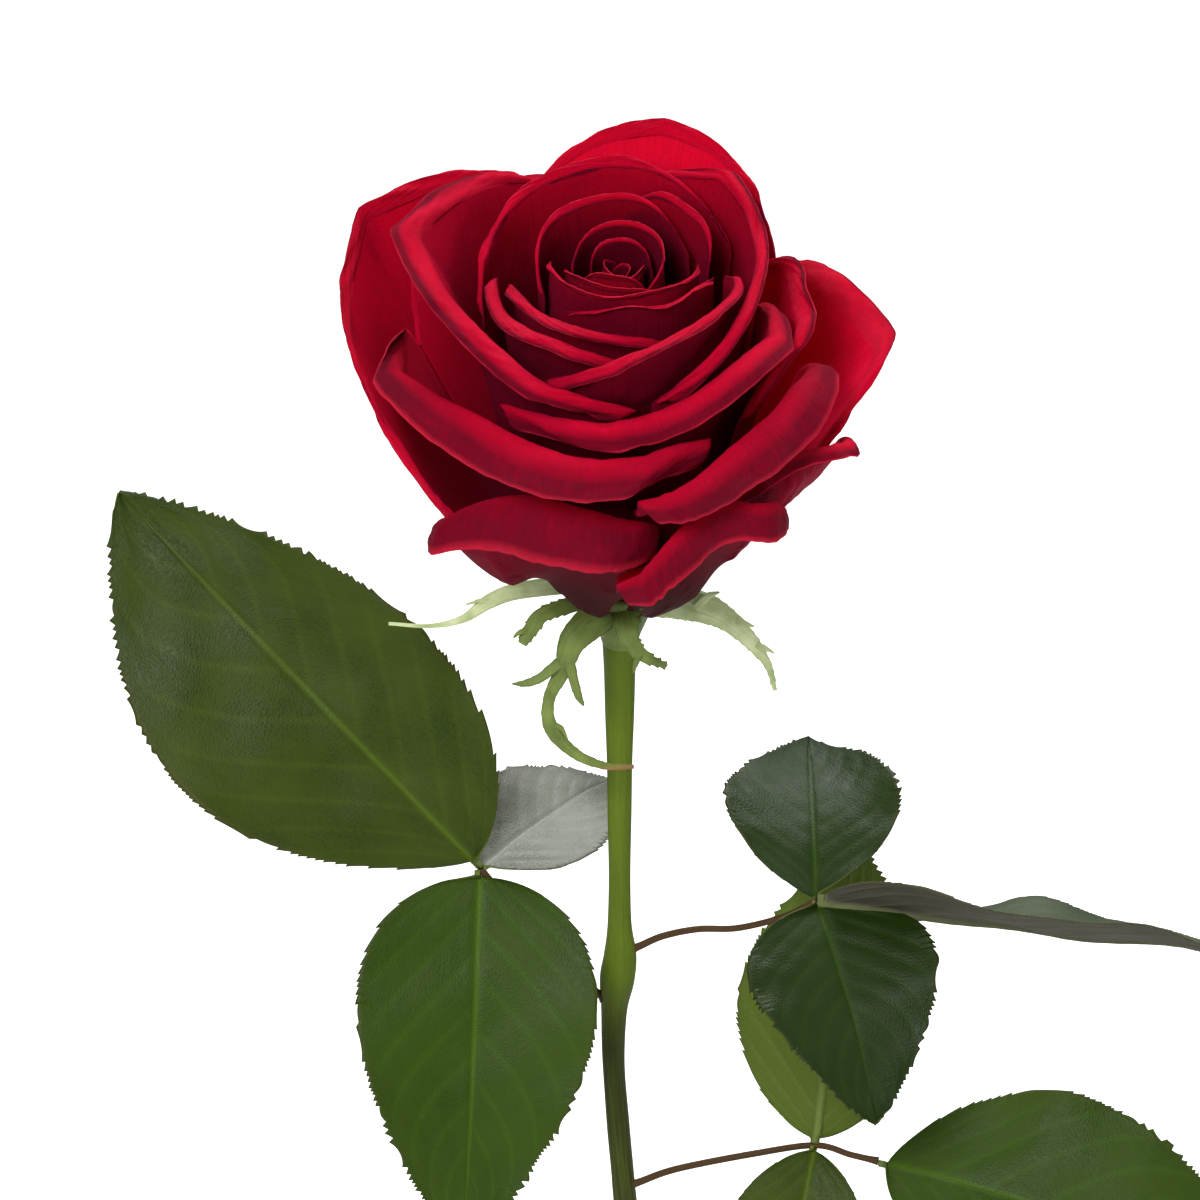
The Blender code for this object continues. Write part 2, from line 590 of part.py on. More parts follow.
def leaf_points(row, rows, columns):
    """(points, normals) of a leaflet: base to tip by rows, edge to edge by columns."""
    name, at, leaves, tip, facing, half, arch, twist, droop = row
    grown_from = np.asarray(stalk_line(name.partition("_leaflet")[0] + "_stalk")[at])
    base = grown_from + unit(leaves) * (STALK_RADII[1] + TOUCH_GAP + LEAFLET_FOOT)
    tip = np.asarray(above_mouth(tip))
    along = unit(tip - base)
    side = unit(np.cross(along, facing))
    up = np.cross(side, along)
    t = np.linspace(0, 1, rows + 1)[:, None, None]
    s = np.linspace(-1, 1, columns + 1)[None, :, None]
    width = leaf_width(name, half, t, s)
    middle = base + (tip - base) * t
    middle = middle + up * (4 * arch * t * (1 - t) - droop * t**2 * 3)
    turned = np.radians(twist) * (1 - smooth(t * 2))
    across = side * np.cos(turned) + up * np.sin(turned)
    above = up * np.cos(turned) - side * np.sin(turned)
    lift = 0.16 * half * np.abs(s) ** 1.5 * np.sin(math.pi * t)
    lift = lift + 0.05 * half * np.sin(9 * t + 2 * np.sign(s)) * s**2
    points = middle + across * width * s + above * lift
    normals = grid_normals(points)
    return points, normals


def build_leaves():
    green = material("leaf", (0.04, 0.12, 0.02), 0.45)
    brown = material("stalk", (0.18, 0.08, 0.04), 0.5)
    for name in STALKS:
        points = stalk_line(name)
        middle = curve_through(points, 3 * (len(points) - 1) + 1)
        radii = np.linspace(*STALK_RADII, len(middle))
        show(name, tube_mesh(name, middle, radii, 8), brown)
    for row in LEAFLETS:
        points, normals = leaf_points(row, LEAF_ROWS, LEAF_COLUMNS)
        show(row[0], sheet_mesh(row[0], points, normals, LEAF_THICKNESS), green)


def sepal_points(row, rows, columns):
    """(points, normals) of a sepal: a ribbon that faces -Y, its middle raised a little."""
    angle, half_width, beyond = row
    away = HIP_RADIUS + TOUCH_GAP + SEPAL_THICKNESS
    turn = math.radians(angle)
    start = flower_frame() @ Vector((away * math.cos(turn), away * math.sin(turn), 0.0))
    line = [(*start, half_width)]
    line += [(*(np.add(above_mouth(FLOWER_BASE), point[:3])), point[3]) for point in beyond]
    path = curve_through(line, rows + 1)
    middle, half = path[:, :3], np.maximum(path[:, 3], 0.2)[:, None, None]
    tangents = np.gradient(middle, axis=0)
    tangents /= np.linalg.norm(tangents, axis=1, keepdims=True)
    side = np.cross(tangents, (0.0, -1.0, 0.2))
    side /= np.linalg.norm(side, axis=1, keepdims=True)
    s = np.linspace(-1, 1, columns + 1)[None, :, None]
    rise = np.cross(side, tangents)[:, None] * 0.25 * half * (1 - s**2)
    points = middle[:, None] + side[:, None] * half * s + rise
    return points, grid_normals(points)


def build_flower():
    green = material("sepal", (0.12, 0.25, 0.05), 0.5)
    show("hip", turned_mesh("hip", hip_profile(), 20, flower_frame()), green)
    for name, row in SEPALS.items():
        points, normals = sepal_points(row, SEPAL_ROWS, SEPAL_COLUMNS)
        show(name, sheet_mesh(name, points, normals, SEPAL_THICKNESS), green)
    build_petals()


def stem_path():
    """(x, y, z, radius) along the stem: up through the vase, and from its mouth to the hip."""
    plain = STEM_THICKNESS / 2
    lean = VASE_NECK_RADIUS - VASE_WALL - plain - NECK_CLEARANCE
    neck = VASE_NECK_HEIGHT + 0.4 * (VASE_HEIGHT - VASE_NECK_HEIGHT)
    path = [
        (0.8, 1.0, VASE_FLOOR + TOUCH_GAP, plain),
        (1.5, -0.45 * lean, 0.47 * VASE_HEIGHT, plain),
        (1.4, -lean, neck, plain),
    ]
    path += [(*above_mouth(point[:3]), point[3] * plain) for point in STEM_ABOVE]
    top = flower_frame() @ Vector((0, 0, -HIP_LENGTH - TOUCH_GAP))
    path.append((*top, HIP_FOOT_RADIUS - 0.15))
    return path


def stem_line(path):
    return curve_through(path, 3 * (len(path) - 1) + 1)


def build_stem():
    line = stem_line(stem_path())
    axis = flower_frame().to_3x3() @ Vector((0, 0, 1))
    mesh = tube_mesh("stem", line[:, :3], line[:, 3], STEM_SIDES, axis)
    show("stem", mesh, material("stem", (0.16, 0.28, 0.05), 0.5))


def build_vase():
    glaze = material("vase", (0.75, 0.73, 0.68), 0.25)
    show("vase", turned_mesh("vase", vase_profile(), VASE_SIDES), glaze)


def main():
    clear_scene()
    build_vase()
    build_stem()
    build_flower()
    build_leaves()


main()
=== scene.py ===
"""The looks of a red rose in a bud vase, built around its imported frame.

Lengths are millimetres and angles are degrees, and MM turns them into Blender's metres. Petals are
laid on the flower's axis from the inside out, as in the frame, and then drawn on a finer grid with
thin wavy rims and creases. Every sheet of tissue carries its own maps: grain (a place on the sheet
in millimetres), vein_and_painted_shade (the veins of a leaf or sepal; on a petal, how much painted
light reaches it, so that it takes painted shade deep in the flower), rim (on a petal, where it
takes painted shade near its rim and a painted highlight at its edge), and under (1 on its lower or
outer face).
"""

import math

import bpy
import numpy as np
from mathutils import Matrix, Vector


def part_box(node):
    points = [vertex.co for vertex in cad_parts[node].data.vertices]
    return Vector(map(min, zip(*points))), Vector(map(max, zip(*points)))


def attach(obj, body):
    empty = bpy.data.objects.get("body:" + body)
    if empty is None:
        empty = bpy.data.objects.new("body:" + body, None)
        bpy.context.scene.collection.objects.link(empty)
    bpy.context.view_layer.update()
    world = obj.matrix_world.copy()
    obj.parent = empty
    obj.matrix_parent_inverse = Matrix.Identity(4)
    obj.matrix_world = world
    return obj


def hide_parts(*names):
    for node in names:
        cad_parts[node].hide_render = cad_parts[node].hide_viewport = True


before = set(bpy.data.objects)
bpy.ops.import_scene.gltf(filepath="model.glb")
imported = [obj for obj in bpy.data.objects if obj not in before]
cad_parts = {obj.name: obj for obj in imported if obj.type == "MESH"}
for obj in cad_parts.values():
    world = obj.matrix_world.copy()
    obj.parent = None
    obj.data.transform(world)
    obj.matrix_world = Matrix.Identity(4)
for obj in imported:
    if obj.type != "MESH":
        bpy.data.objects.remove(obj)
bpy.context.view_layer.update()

MM = 0.001
BODY = "root"
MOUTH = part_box("vase")[1].z / MM        # height of the vase's mouth

# Clearances between separate pieces.
TOUCH_GAP = 0.35        # pieces that rest on or grow from one another
PETAL_GAP = 0.50        # between one petal and the next

# Vase: its radius is the outside one, and its neck is the narrow part below the lip.
VASE_HEIGHT = 172.0
VASE_FOOT_RADIUS = 27.0
VASE_BELLY_RADIUS = 36.0
VASE_BELLY_HEIGHT = 50.0
VASE_NECK_RADIUS = 11.0
VASE_NECK_HEIGHT = 135.0
VASE_LIP_RADIUS = 15.0
VASE_WALL = 3.0
VASE_FLOOR = 6.0
# Stem: it stands on the vase's floor, leans on the front of the neck and swells at the joint where
# two of the leaves grow.
STEM_THICKNESS = 3.8    # diameter of its plain length
NECK_CLEARANCE = 0.8    # between the stem and the inside of the neck
STEM_ABOVE = (
    # x, y, z from the mouth, thickness as a share of the plain one
    (1.3, -5.9, 10.0, 1.0),
    (0.6, -6.5, 22.0, 1.0),
    (-0.3, -7.0, 33.0, 1.0),
    (-1.0, -7.5, 44.0, 1.0),
    (-0.9, -8.0, 53.0, 1.1),
    (-0.4, -8.5, 59.0, 1.5),
    (0.1, -8.8, 63.5, 1.4),
    (0.0, -9.2, 70.0, 1.0),
    (0.0, -10.1, 84.0, 1.0),
    (0.0, -11.2, 100.0, 1.1),
    (0.0, -12.9, 112.0, 1.3),
)

# Flower.
FLOWER_BASE = (0.0, -20.0, 131.0)   # where the petals leave the receptacle, from the mouth
FLOWER_LEAN = 25.0                  # the flower's axis from upright, towards -Y
HIP_RADIUS = 5.8
HIP_LENGTH = 11.0
HIP_FOOT_RADIUS = 3.0
RECEPTACLE_RISE = 3.0               # of its middle above FLOWER_BASE
RECEPTACLE_CROWN = 1.0              # of its middle above its edge
PETAL_THICKNESS = 0.40

# Leaves. A stalk grows from the stem at a height and thins from the first radius to the second.
# Its points and its leaflets' tips are x, y, z from the mouth.
STALK_RADII = (0.60, 0.50)
STALKS = {
    "leaf_1_stalk": (58.0, (
        (-10.4, -10.2, 63.5), (-17.6, -11.6, 73.4), (-22.7, -13.0, 80.2),
    )),
    "leaf_2_stalk": (64.6, (
        (7.2, -10.0, 67.2), (12.8, -12.0, 69.2), (19.2, -14.0, 70.2),
        (26.4, -16.0, 72.9), (31.9, -17.1, 76.1),
    )),
    "leaf_3_stalk": (21.7, (
        (9.6, -8.0, 24.8), (22.4, -10.4, 28.6), (32.3, -12.3, 30.9),
        (38.1, -13.2, 29.6), (42.6, -14.0, 28.8),
    )),
}

# Each leaflet: the point of its stalk's line that it grows at, the direction it leaves in, its
# tip, the direction its upper side faces, and its half width, arch, twist at its base and droop.
LEAFLETS = (
    ("leaf_1_leaflet_1", -1, (-0.9, -0.4, 1.6), (-80.8, -2.0, 141.0),
     (0, -0.94, 0.34), 24, 3, 0, 1),
    ("leaf_1_leaflet_2", -1, (-0.6, -1.6, -1.3), (-25.3, -32.0, 20.5),
     (0.1, -0.94, 0.34), 19.6, 3, 0, 1),
    ("leaf_1_leaflet_3", -1, (1.3, 1.6, 1.2), (-1.3, 16.0, 84.5),
     (0.1, -0.5, 0.86), 11, 2, 0, 0),
    ("leaf_2_leaflet_1", -1, (-0.1, 0.9, 1.5), (31.2, 14.0, 96.5),
     (0, -0.47, 0.88), 14.5, 2, 0, 2),
    ("leaf_2_leaflet_2", -1, (0.5, -1.2, -1.4), (42.0, -42.0, 50.0),
     (0.1, -0.75, 0.65), 15.5, 3, 0, 2),
    ("leaf_2_leaflet_3", -1, (1.7, -0.3, 0.8), (107.2, -26.0, 69.8),
     (0.08, 0.3, 0.95), 17, 0, 30, 0),
    ("leaf_3_leaflet_1", -3, (0.0, 1.0, 1.5), (38.7, 10.0, 75.8),
     (-0.1, 0.89, -0.45), 15.5, 2, 0, 1),
    ("leaf_3_leaflet_2", -1, (1.4, -0.4, 0.0), (107.0, -34.0, 16.9),
     (0.1, -0.75, 0.65), 19, 3, 0, 2),
    ("leaf_3_leaflet_3", -3, (-0.9, -1.1, -1.7), (24.0, -30.0, -4.0),
     (0, -0.9, 0.4), 12, 2, 0, 2),
)
# The half width and the bulge of a leaflet's two sides, the left one seen from its base first: a
# share of the half width, and a power that moves the widest place towards the base (below 1) or
# the tip.
LEAF_SHAPES = {
    "other": ((1.0, 0.85), (1.0, 0.85)),
    "leaf_1_leaflet_1": ((1.08, 1.05), (0.84, 0.72)),
    "leaf_1_leaflet_2": ((1.0, 0.62), (1.0, 0.62)),
    "leaf_2_leaflet_1": ((1.0, 1.0), (1.0, 1.0)),
    "leaf_2_leaflet_2": ((1.0, 0.65), (1.0, 0.65)),
}

# Sepals: where each leaves the hip, as an angle about the flower's axis from its right-hand side,
# its half width there, and then its middle line as x, y, z from FLOWER_BASE with its half width.
# They face -Y.
SEPALS = {
    "sepal_1": (165, 1.6, (
        (-16.0, -3.0, 1.0, 1.5), (-20.8, -3.0, -0.8, 1.3), (-25.1, -3.0, -3.8, 0.7),
        (-30.4, -3.0, -5.0, 0.35), (-37.0, -3.0, -4.6, 0.25),
    )),
    "sepal_2": (208, 1.3, (
        (-12.0, -6.0, -1.8, 1.3), (-14.0, -6.4, -4.0, 1.3), (-15.6, -6.4, -6.8, 0.8),
    )),
    "sepal_3": (243, 3.1, (
        (-7.4, -8.8, -5.2, 2.5), (-9.0, -8.5, -10.2, 1.5), (-11.4, -7.0, -16.2, 1),
        (-10.9, -5.5, -21.8, 1.2), (-7.0, -4.0, -26.6, 0.9), (-2.2, -2.0, -29.4, 0.6),
        (2.2, -0.5, -30.1, 0.3),
    )),
    "sepal_4": (282, 2.2, (
        (1.2, -8.0, -4.6, 1.8), (3.4, -6.9, -8.4, 1.1), (7.4, -5.4, -11.0, 0.4),
    )),
    "sepal_5": (338, 3.0, (
        (12.8, -5.6, -0.8, 2.8), (17.3, -6.0, -3.0, 2), (21.1, -6.0, -6.8, 1.3),
        (23.7, -5.5, -10.9, 0.6), (24.8, -5.0, -15.2, 0.3),
    )),
}

# Grid on which petals are seated.
ACROSS = 48             # cells from side to side
ALONG = 48              # cells from foot to rim
BODY_ROWS = 32          # of them, those below the crest
SETTLING = 12           # passes that smooth how far a petal is pushed
WAVE = 0.55             # how much a crest wanders in and out and up and down

# Each petal, from the inside out. Facing and half width are angles about the flower's axis, from
# its right-hand side: the back is 90 and the front is 270. Crest is the radius and height where
# the cup ends, and lean is its slope there. The rim beyond it is so long, and turns outwards by
# the three angles at the petal's smaller angle, middle and larger angle. A turn below 0 counts as
# none, and keeps more of its side upright. Spiral is added to the radius at the larger angle and
# taken off at the other. Slant lowers the edge at the larger angle, or at the other one if it is
# negative. Cut rounds both corners.
PETALS = (
    # name, facing, half width, crest radius, height, lean, rim, turns, spiral, slant, cut
    ("petal_heart_1", 20, 150, 1.4, 68.5, 92, 1.5, (20, 10, 20), 0.4, 0, 0.03),
    ("petal_heart_2", 200, 125, 2.2, 69.5, 92, 1.5, (20, 10, 20), 0.4, 0, 0.04),
    ("petal_heart_3", 310, 105, 3.2, 70.0, 92, 1.5, (20, 10, 20), 0.4, 0, 0.05),
    ("petal_heart_4", 100, 105, 4.2, 71.0, 92, 1.5, (20, 10, 20), 0.4, 0, 0.05),
    ("petal_heart_5", 255, 75, 5.0, 72.0, 92, 1.5, (20, 15, 20), 0.3, 0, 0.07),
    ("petal_heart_6", 60, 130, 6.8, 72.4, 92, 1.5, (20, 20, 20), 0.4, 0, 0.04),
    ("petal_heart_7", 250, 85, 8.0, 72.5, 92, 1.5, (30, 20, 30), 0.4, 0, 0.06),
    ("petal_ring_1", 268, 100, 11.0, 73.5, 92, 1.5, (50, 30, 50), 0.6, 0, 0.05),
    ("petal_ring_2", 112, 88, 12.2, 73.0, 90, 1.5, (50, 30, 50), 0.5, 0, 0.06),
    ("petal_ring_3", 45, 52, 13.8, 73.0, 88, 1.5, (50, 40, 50), 0.5, 0, 0.07),
    ("petal_ring_4", 290, 66, 13.0, 73.0, 88, 1.5, (60, 60, 60), 0.5, 0, 0.05),
    ("petal_ring_5", 240, 60, 16.5, 71.5, 85, 2.8, (100, 110, 120), -1.0, 0, 0.06),
    ("petal_ring_6", 226, 54, 19.0, 71.0, 82, 3.4, (100, 110, 120), -0.5, 0, 0.07),
    ("petal_ring_7", 306, 66, 18.4, 72.0, 84, 3.0, (110, 90, 60), -1.5, 0, 0.08),
    ("petal_mid_1", 112, 78, 20.5, 71.5, 84, 2.0, (50, 40, 50), -2.0, 0, 0.10),
    ("petal_mid_2", 15, 92, 20.8, 70.0, 82, 3.0, (110, 60, 40), 2.0, 0, 0.12),
    ("petal_mid_3", 192, 84, 25.5, 71.0, 72, 5.5, (50, 80, 120), -7.0, 0, 0.12),
    ("petal_mid_4", 300, 74, 23.0, 65.5, 78, 6.5, (140, 130, 50), -1.0, 0.03, 0.08),
    ("petal_mid_5", 0, 40, 26.0, 62.5, 76, 4.0, (90, 40, 50), 0.5, 0, 0.14),
    ("petal_outer_1", 240, 60, 31.0, 61.0, 72, 10.0, (-30, 140, 150), -3.5, 0, 0.06),
    ("petal_outer_2", 316, 42, 30.0, 59.5, 72, 10.0, (150, 140, 40), 0.5, 0.08, 0.08),
    ("petal_outer_3", 80, 45, 38.0, 62.0, 62, 3.0, (50, 20, 50), 0.5, 0, 0.24),
    ("petal_outer_4", 20, 52, 38.5, 52.5, 56, 5.0, (50, 30, 50), 0.5, 0.12, 0.24),
    ("petal_outer_5", 125, 40, 36.5, 54.0, 60, 4.0, (50, 40, 50), 0.5, 0, 0.14),
    ("petal_outer_6", 155, 74, 40.5, 57.5, 76, 3.5, (40, 20, 50), 0.5, 0, 0.28),
    ("petal_outer_7", 321, 28, 29.0, 47.0, 64, 5.0, (120, 100, 80), 0.5, 0, 0.14),
    ("petal_outer_8", 252, 30, 30.0, 47.5, 66, 13.5, (110, 140, 120), 0.5, 0, 0.14),
    ("petal_outer_9", 294, 25, 28.5, 46.5, 68, 10.0, (130, 140, 120), 0.5, 0, 0.12),
)

# Petals whose rim comes to a point: where across it, from -1 to 1, and how far it stands out.
TIPS = {
    "petal_mid_2": (0.40, 4.0),
    "petal_mid_3": (-0.22, 5.0),
    "petal_mid_4": (0.50, 4.0),
    "petal_outer_1": (-0.58, 5.0),
    "petal_outer_2": (0.80, 3.0),
    "petal_outer_3": (0.0, 1.0),
    "petal_outer_4": (-0.35, 4.0),
    "petal_outer_6": (-0.05, 5.0),
    "petal_outer_7": (0.4, 2.5),
}

# Finer drawing of the petals.
PETAL_FINER = 2         # parts that each interval of the seating grid is cut into
PETAL_THICK = 0.30
PETAL_LOOSE = 20.0      # the crest radius from which a petal is as wavy as any
RIM_UNEVEN = 0.6        # how far a rim is drawn back in its even places
RIM_NICKS = 4           # of each petal
PETAL_SWAY = 0.32       # height of its broad waves, of its rim's frill and of its fine creases
PETAL_FRILL = 0.12
PETAL_CREASE = 0.04
DEPTH_FADE = (3.0, 0.65)    # painted light fades down it over so much, and this share of its crest radius
RIM_FADE = 0.8          # how far from an open rim its painted shade and painted highlight fade by two thirds
ROLL_FADE = 1.1         # the same for a rolled rim, as a share of its length
ROLLED = 70             # a rim that turns further than this counts as rolled
DARKENS = (0.40, 0.06)  # painted light at which a petal starts to take painted shade, and where that shade is darkest
FOOT_FADE = (34.0, 12.0)            # its dark foot, as lengths along it
ROLL_SHADE_BAND = (0.15, 0.45, 0.0, 0.85) # rim values, and how much of a roll's painted shade they give
RIM_HIGHLIGHT_LINE = (0.80, 0.97, 0.0, 0.6)   # the same for the painted highlight along its edge

# Finer drawing of the leaves.
LEAF_LINES = 210        # cells from base to tip
LEAF_CELLS = 56         # cells from edge to edge
LEAF_NECK = 0.02        # share of a blade that is its own short stalk
LEAF_THICK = 0.28
LEAF_CUP = 0.16         # rise of its edges and their two waves, as shares of the half width
LEAF_WAVE = 0.05
LEAF_FRILL = 0.018
LEAF_PUFF = 0.0025      # the same for the tissue between two side veins
LEAF_DENTS = 0.03       # height of small unevenness, and of broad
LEAF_BUCKLE = 0.35
TOOTH_LONG = 2.5
TOOTH_DEEP = 1.0
TOOTH_BAND = 16         # the power that keeps teeth to the edge
MIDRIB = 0.55           # half width of the midrib's groove at the base
LEAF_GROOVE = 0.42      # depth of that groove
RIB_BELOW = (0.55, 0.10)    # how far midrib and side veins stand out below
SIDE_VEIN = 0.60        # half width of a side vein
SIDE_GROOVE = 0.05      # depth of its groove
VEIN_PAIRS = 8
VEIN_PALER = 2.6        # how much lighter a vein is than the brightest tissue
STALK_SUNK = 2.2        # how far a stalk's drawn line starts inside the stem
STALK_SIDES = 16
STEM_SIDES = 28

# Finer drawing of the sepals.
SEPAL_SLIM = 0.88       # their shown half width, as a share of the solid's
SEPAL_HALF_THICK = 0.14
SEPAL_RIB = 0.10        # how far the midrib stands out below
SEPAL_CUP = 0.25        # rise of a sepal's middle, as a share of its half width
SEPAL_TOOTH_LONG = 1.9
SEPAL_TEETH = {"sepal_1": 0.0, "sepal_2": 0.3, "sepal_3": 0.12, "sepal_4": 0.4, "sepal_5": 0.2}
LOBE_TEETH = 0.1
# These sepals take a paler tone: partly the pale inner face of a rose's sepal, partly painted
# light on it.
PALE_LIT_SEPALS = ("sepal_1", "sepal_5")
# Side lobes, as x, y, z from FLOWER_BASE and half width.
SEPAL_LOBES = {
    "sepal_3": (
        ((-9.4, -8.6, -9.0, 1.0), (-12.6, -8.8, -11.6, 0.8), (-15.0, -8.8, -12.6, 0.6),
         (-17.2, -8.6, -12.8, 0.1)),
        ((-8.2, -8.8, -8.6, 1.0), (-7.4, -9.0, -12.0, 0.8), (-6.6, -9.0, -14.8, 0.6),
         (-5.8, -8.8, -16.4, 0.1)),
        ((-11.0, -5.8, -20.6, 0.5), (-9.4, -5.4, -21.6, 0.35), (-8.4, -5.2, -23.6, 0.1)),
    ),
    "sepal_5": (
        ((17.6, -6.0, -3.2, 0.8), (19.4, -6.4, -3.2, 0.6), (21.4, -6.6, -3.8, 0.1)),
        ((21.0, -6.0, -6.8, 0.6), (23.2, -6.3, -7.6, 0.4), (24.6, -6.3, -8.4, 0.1)),
        ((12.0, -6.4, -0.6, 0.7), (14.0, -7.2, 1.6, 0.6), (15.8, -7.6, 2.4, 0.1)),
    ),
    "sepal_1": (
        ((-20.2, -3.0, -0.8, 0.5), (-22.4, -3.4, -0.6, 0.3), (-24.6, -3.4, -1.2, 0.1)),
    ),
    "sepal_2": (
        ((-14.2, -6.4, -4.4, 0.5), (-15.8, -6.8, -4.6, 0.4), (-17.0, -6.8, -5.6, 0.1)),
    ),
    "sepal_4": (
        ((3.2, -7.0, -8.2, 0.6), (2.4, -7.4, -10.0, 0.4), (2.2, -7.4, -11.4, 0.1)),
    ),
}

# Colours, as linear red, green and blue.
PETAL_BRIGHT = (0.74, 0.002, 0.032)
PETAL_DEEP = (0.56, 0.001, 0.026)
PETAL_SHADE = (0.30, 0.001, 0.018)
PETAL_BACK = (0.30, 0.002, 0.022)
PETAL_BACK_DEEP = (0.20, 0.001, 0.016)
PETAL_VEIN = (0.11, 0.002, 0.012)
# Painted shade deep in the flower, where little painted light reaches.
PETAL_DEPTH_SHADE = (0.10, 0.001, 0.010)
PETAL_FOOT = (0.040, 0.006, 0.008)
# Painted shade near a rim, deepest on a rolled one, in two tones that mottle it.
PETAL_ROLL_SHADE = (0.070, 0.002, 0.012)
PETAL_ROLL_SHADE_PALE = (0.22, 0.001, 0.016)
# Painted highlight along a petal's edge.
PETAL_RIM_HIGHLIGHT = (0.70, 0.020, 0.050)
LEAF_BACK_VEIN = (0.17, 0.22, 0.06)
LEAF_EDGE = (0.06, 0.06, 0.015)
SEPAL_GREEN = ((0.07, 0.11, 0.015), (0.18, 0.24, 0.045), (0.27, 0.33, 0.10))
# Pale sepal tones: partly their own paler colour, partly painted light.
SEPAL_PALE_LIT = ((0.26, 0.36, 0.11), (0.66, 0.72, 0.40), (0.75, 0.80, 0.52))
SEPAL_TIP = (0.30, 0.07, 0.05)
GLAZE_PALE = (0.80, 0.78, 0.73)
GLAZE_WARM = (0.74, 0.70, 0.63)
GLAZE_SPECK = (0.16, 0.10, 0.06)
SPECKS_PER_METRE = 260.0
SPECK_EDGE = (0.16, 0.08)       # a speck fades in between these distances from its middle
SPECK_PLACES = (0.52, 0.62)     # and shows only where a broad noise is over these
PAPER = ((0.90, 0.90, 0.90), (0.92, 0.92, 0.92))
LEAF_BACK = (0.085, 0.125, 0.015)
LEAF_TONES = {
    # deep and bright upper face, lower face, roughness
    "leaf_green": ((0.013, 0.026, 0.002), (0.042, 0.066, 0.003), LEAF_BACK, 0.40),
    "leaf_fresh": ((0.017, 0.042, 0.001), (0.032, 0.066, 0.001), LEAF_BACK, 0.42),
    # a deeper green, partly their own colour and partly painted shade where these leaflets lie in
    # shadow
    "leaf_dark_shaded": ((0.007, 0.018, 0.001), (0.014, 0.032, 0.002), LEAF_BACK, 0.40),
    # a greyed green: the leaflet's own green with the gloss of its edgewise view painted in
    "leaf_edgewise_painted_gloss": ((0.020, 0.034, 0.010), (0.070, 0.090, 0.050), (0.075, 0.068, 0.050), 0.40),
    # a silvery grey that paints the leaflet's gloss as colour
    "leaf_painted_gloss": ((0.07, 0.080, 0.055), (0.21, 0.220, 0.185), LEAF_BACK, 0.30),
}
LEAFLET_TONES = {
    # Three of these tones hold painted light: painted shade on the darker leaflets, painted gloss
    # on the grey ones.
    "leaf_1_leaflet_2": "leaf_fresh",
    "leaf_1_leaflet_3": "leaf_painted_gloss",
    "leaf_2_leaflet_1": "leaf_dark_shaded",
    "leaf_2_leaflet_2": "leaf_dark_shaded",
    "leaf_2_leaflet_3": "leaf_edgewise_painted_gloss",
    "leaf_3_leaflet_2": "leaf_fresh",
}
# The stem turns green over its swollen joint, which is this high above the mouth.
STEM_JOINT = 59.0
STEM_TURNS = (-12.0, 2.0)
STEM_TONES = ((0.028, 0.034, 0.006), (0.105, 0.160, 0.010), (0.15, 0.20, 0.03))
STALK_TONES = ((0.055, 0.030, 0.012), (0.075, 0.036, 0.016), (0.06, 0.06, 0.02))
SKIN_ROUGHNESS = 0.42
SEPAL_TIP_BELOW = (102.0, 100.5)    # a sepal reddens between these heights above the mouth

# Stage.
CAMERA_DISTANCE = 1400.0
CAMERA_ELEVATION = 20.0
CAMERA_ASIDE = -3.2     # of the view's middle from the flower's base, to the right and up
CAMERA_RAISE = -1.6
VIEW_WIDTH = 192.0      # at the flower
BLOOM_MIDDLE = 40.0     # along the flower's axis, where the lights aim
FLOOR_HALF_WIDTH = 12.0     # in metres
FLOOR_GLOW = 0.75
WORLD_STRENGTH = 0.22
SOFTBOXES = (
    # name, place from the bloom in metres, power, size
    ("key_softbox", (-0.30, -0.90, 0.55), 11.0, 0.40),
    ("fill_softbox", (0.95, -0.50, 0.45), 2.5, 0.5),
    ("top_softbox", (0.10, 0.60, 0.85), 11.0, 0.6),
)


def smooth(x):
    """0 at 0, 1 at 1, level at both ends."""
    x = np.clip(x, 0.0, 1.0)
    return x * x * (3 - 2 * x)


def cup_profile(crest_radius, crest_height, start_radius, start_height, lean, tau):
    """(radius, height, slope) along a petal's cup, from the receptacle at tau 0 to its crest at 1.

    It is one cubic curve: it leaves the receptacle at a slope of its own and arrives at lean."""
    rise = crest_height - start_height
    leave = np.radians(72 - 0.85 * crest_radius)
    arrive = np.radians(lean)
    reach = 0.42 * np.hypot(rise, crest_radius - start_radius)
    points = (
        (start_radius, start_height),
        (start_radius + reach * np.cos(leave), start_height + reach * np.sin(leave)),
        (crest_radius - reach * np.cos(arrive), crest_height - reach * np.sin(arrive)),
        (crest_radius, crest_height),
    )
    s = 1 - tau
    weights = (s**3, 3 * s * s * tau, 3 * s * tau * tau, tau**3)
    radius = sum(w * p[0] for w, p in zip(weights, points))
    height = sum(w * p[1] for w, p in zip(weights, points))
    slopes = (3 * s * s, 6 * s * tau, 3 * tau * tau)
    run = sum(w * (q[0] - p[0]) for w, p, q in zip(slopes, points, points[1:]))
    climb = sum(w * (q[1] - p[1]) for w, p, q in zip(slopes, points, points[1:]))
    return radius, height, np.arctan2(climb, run)


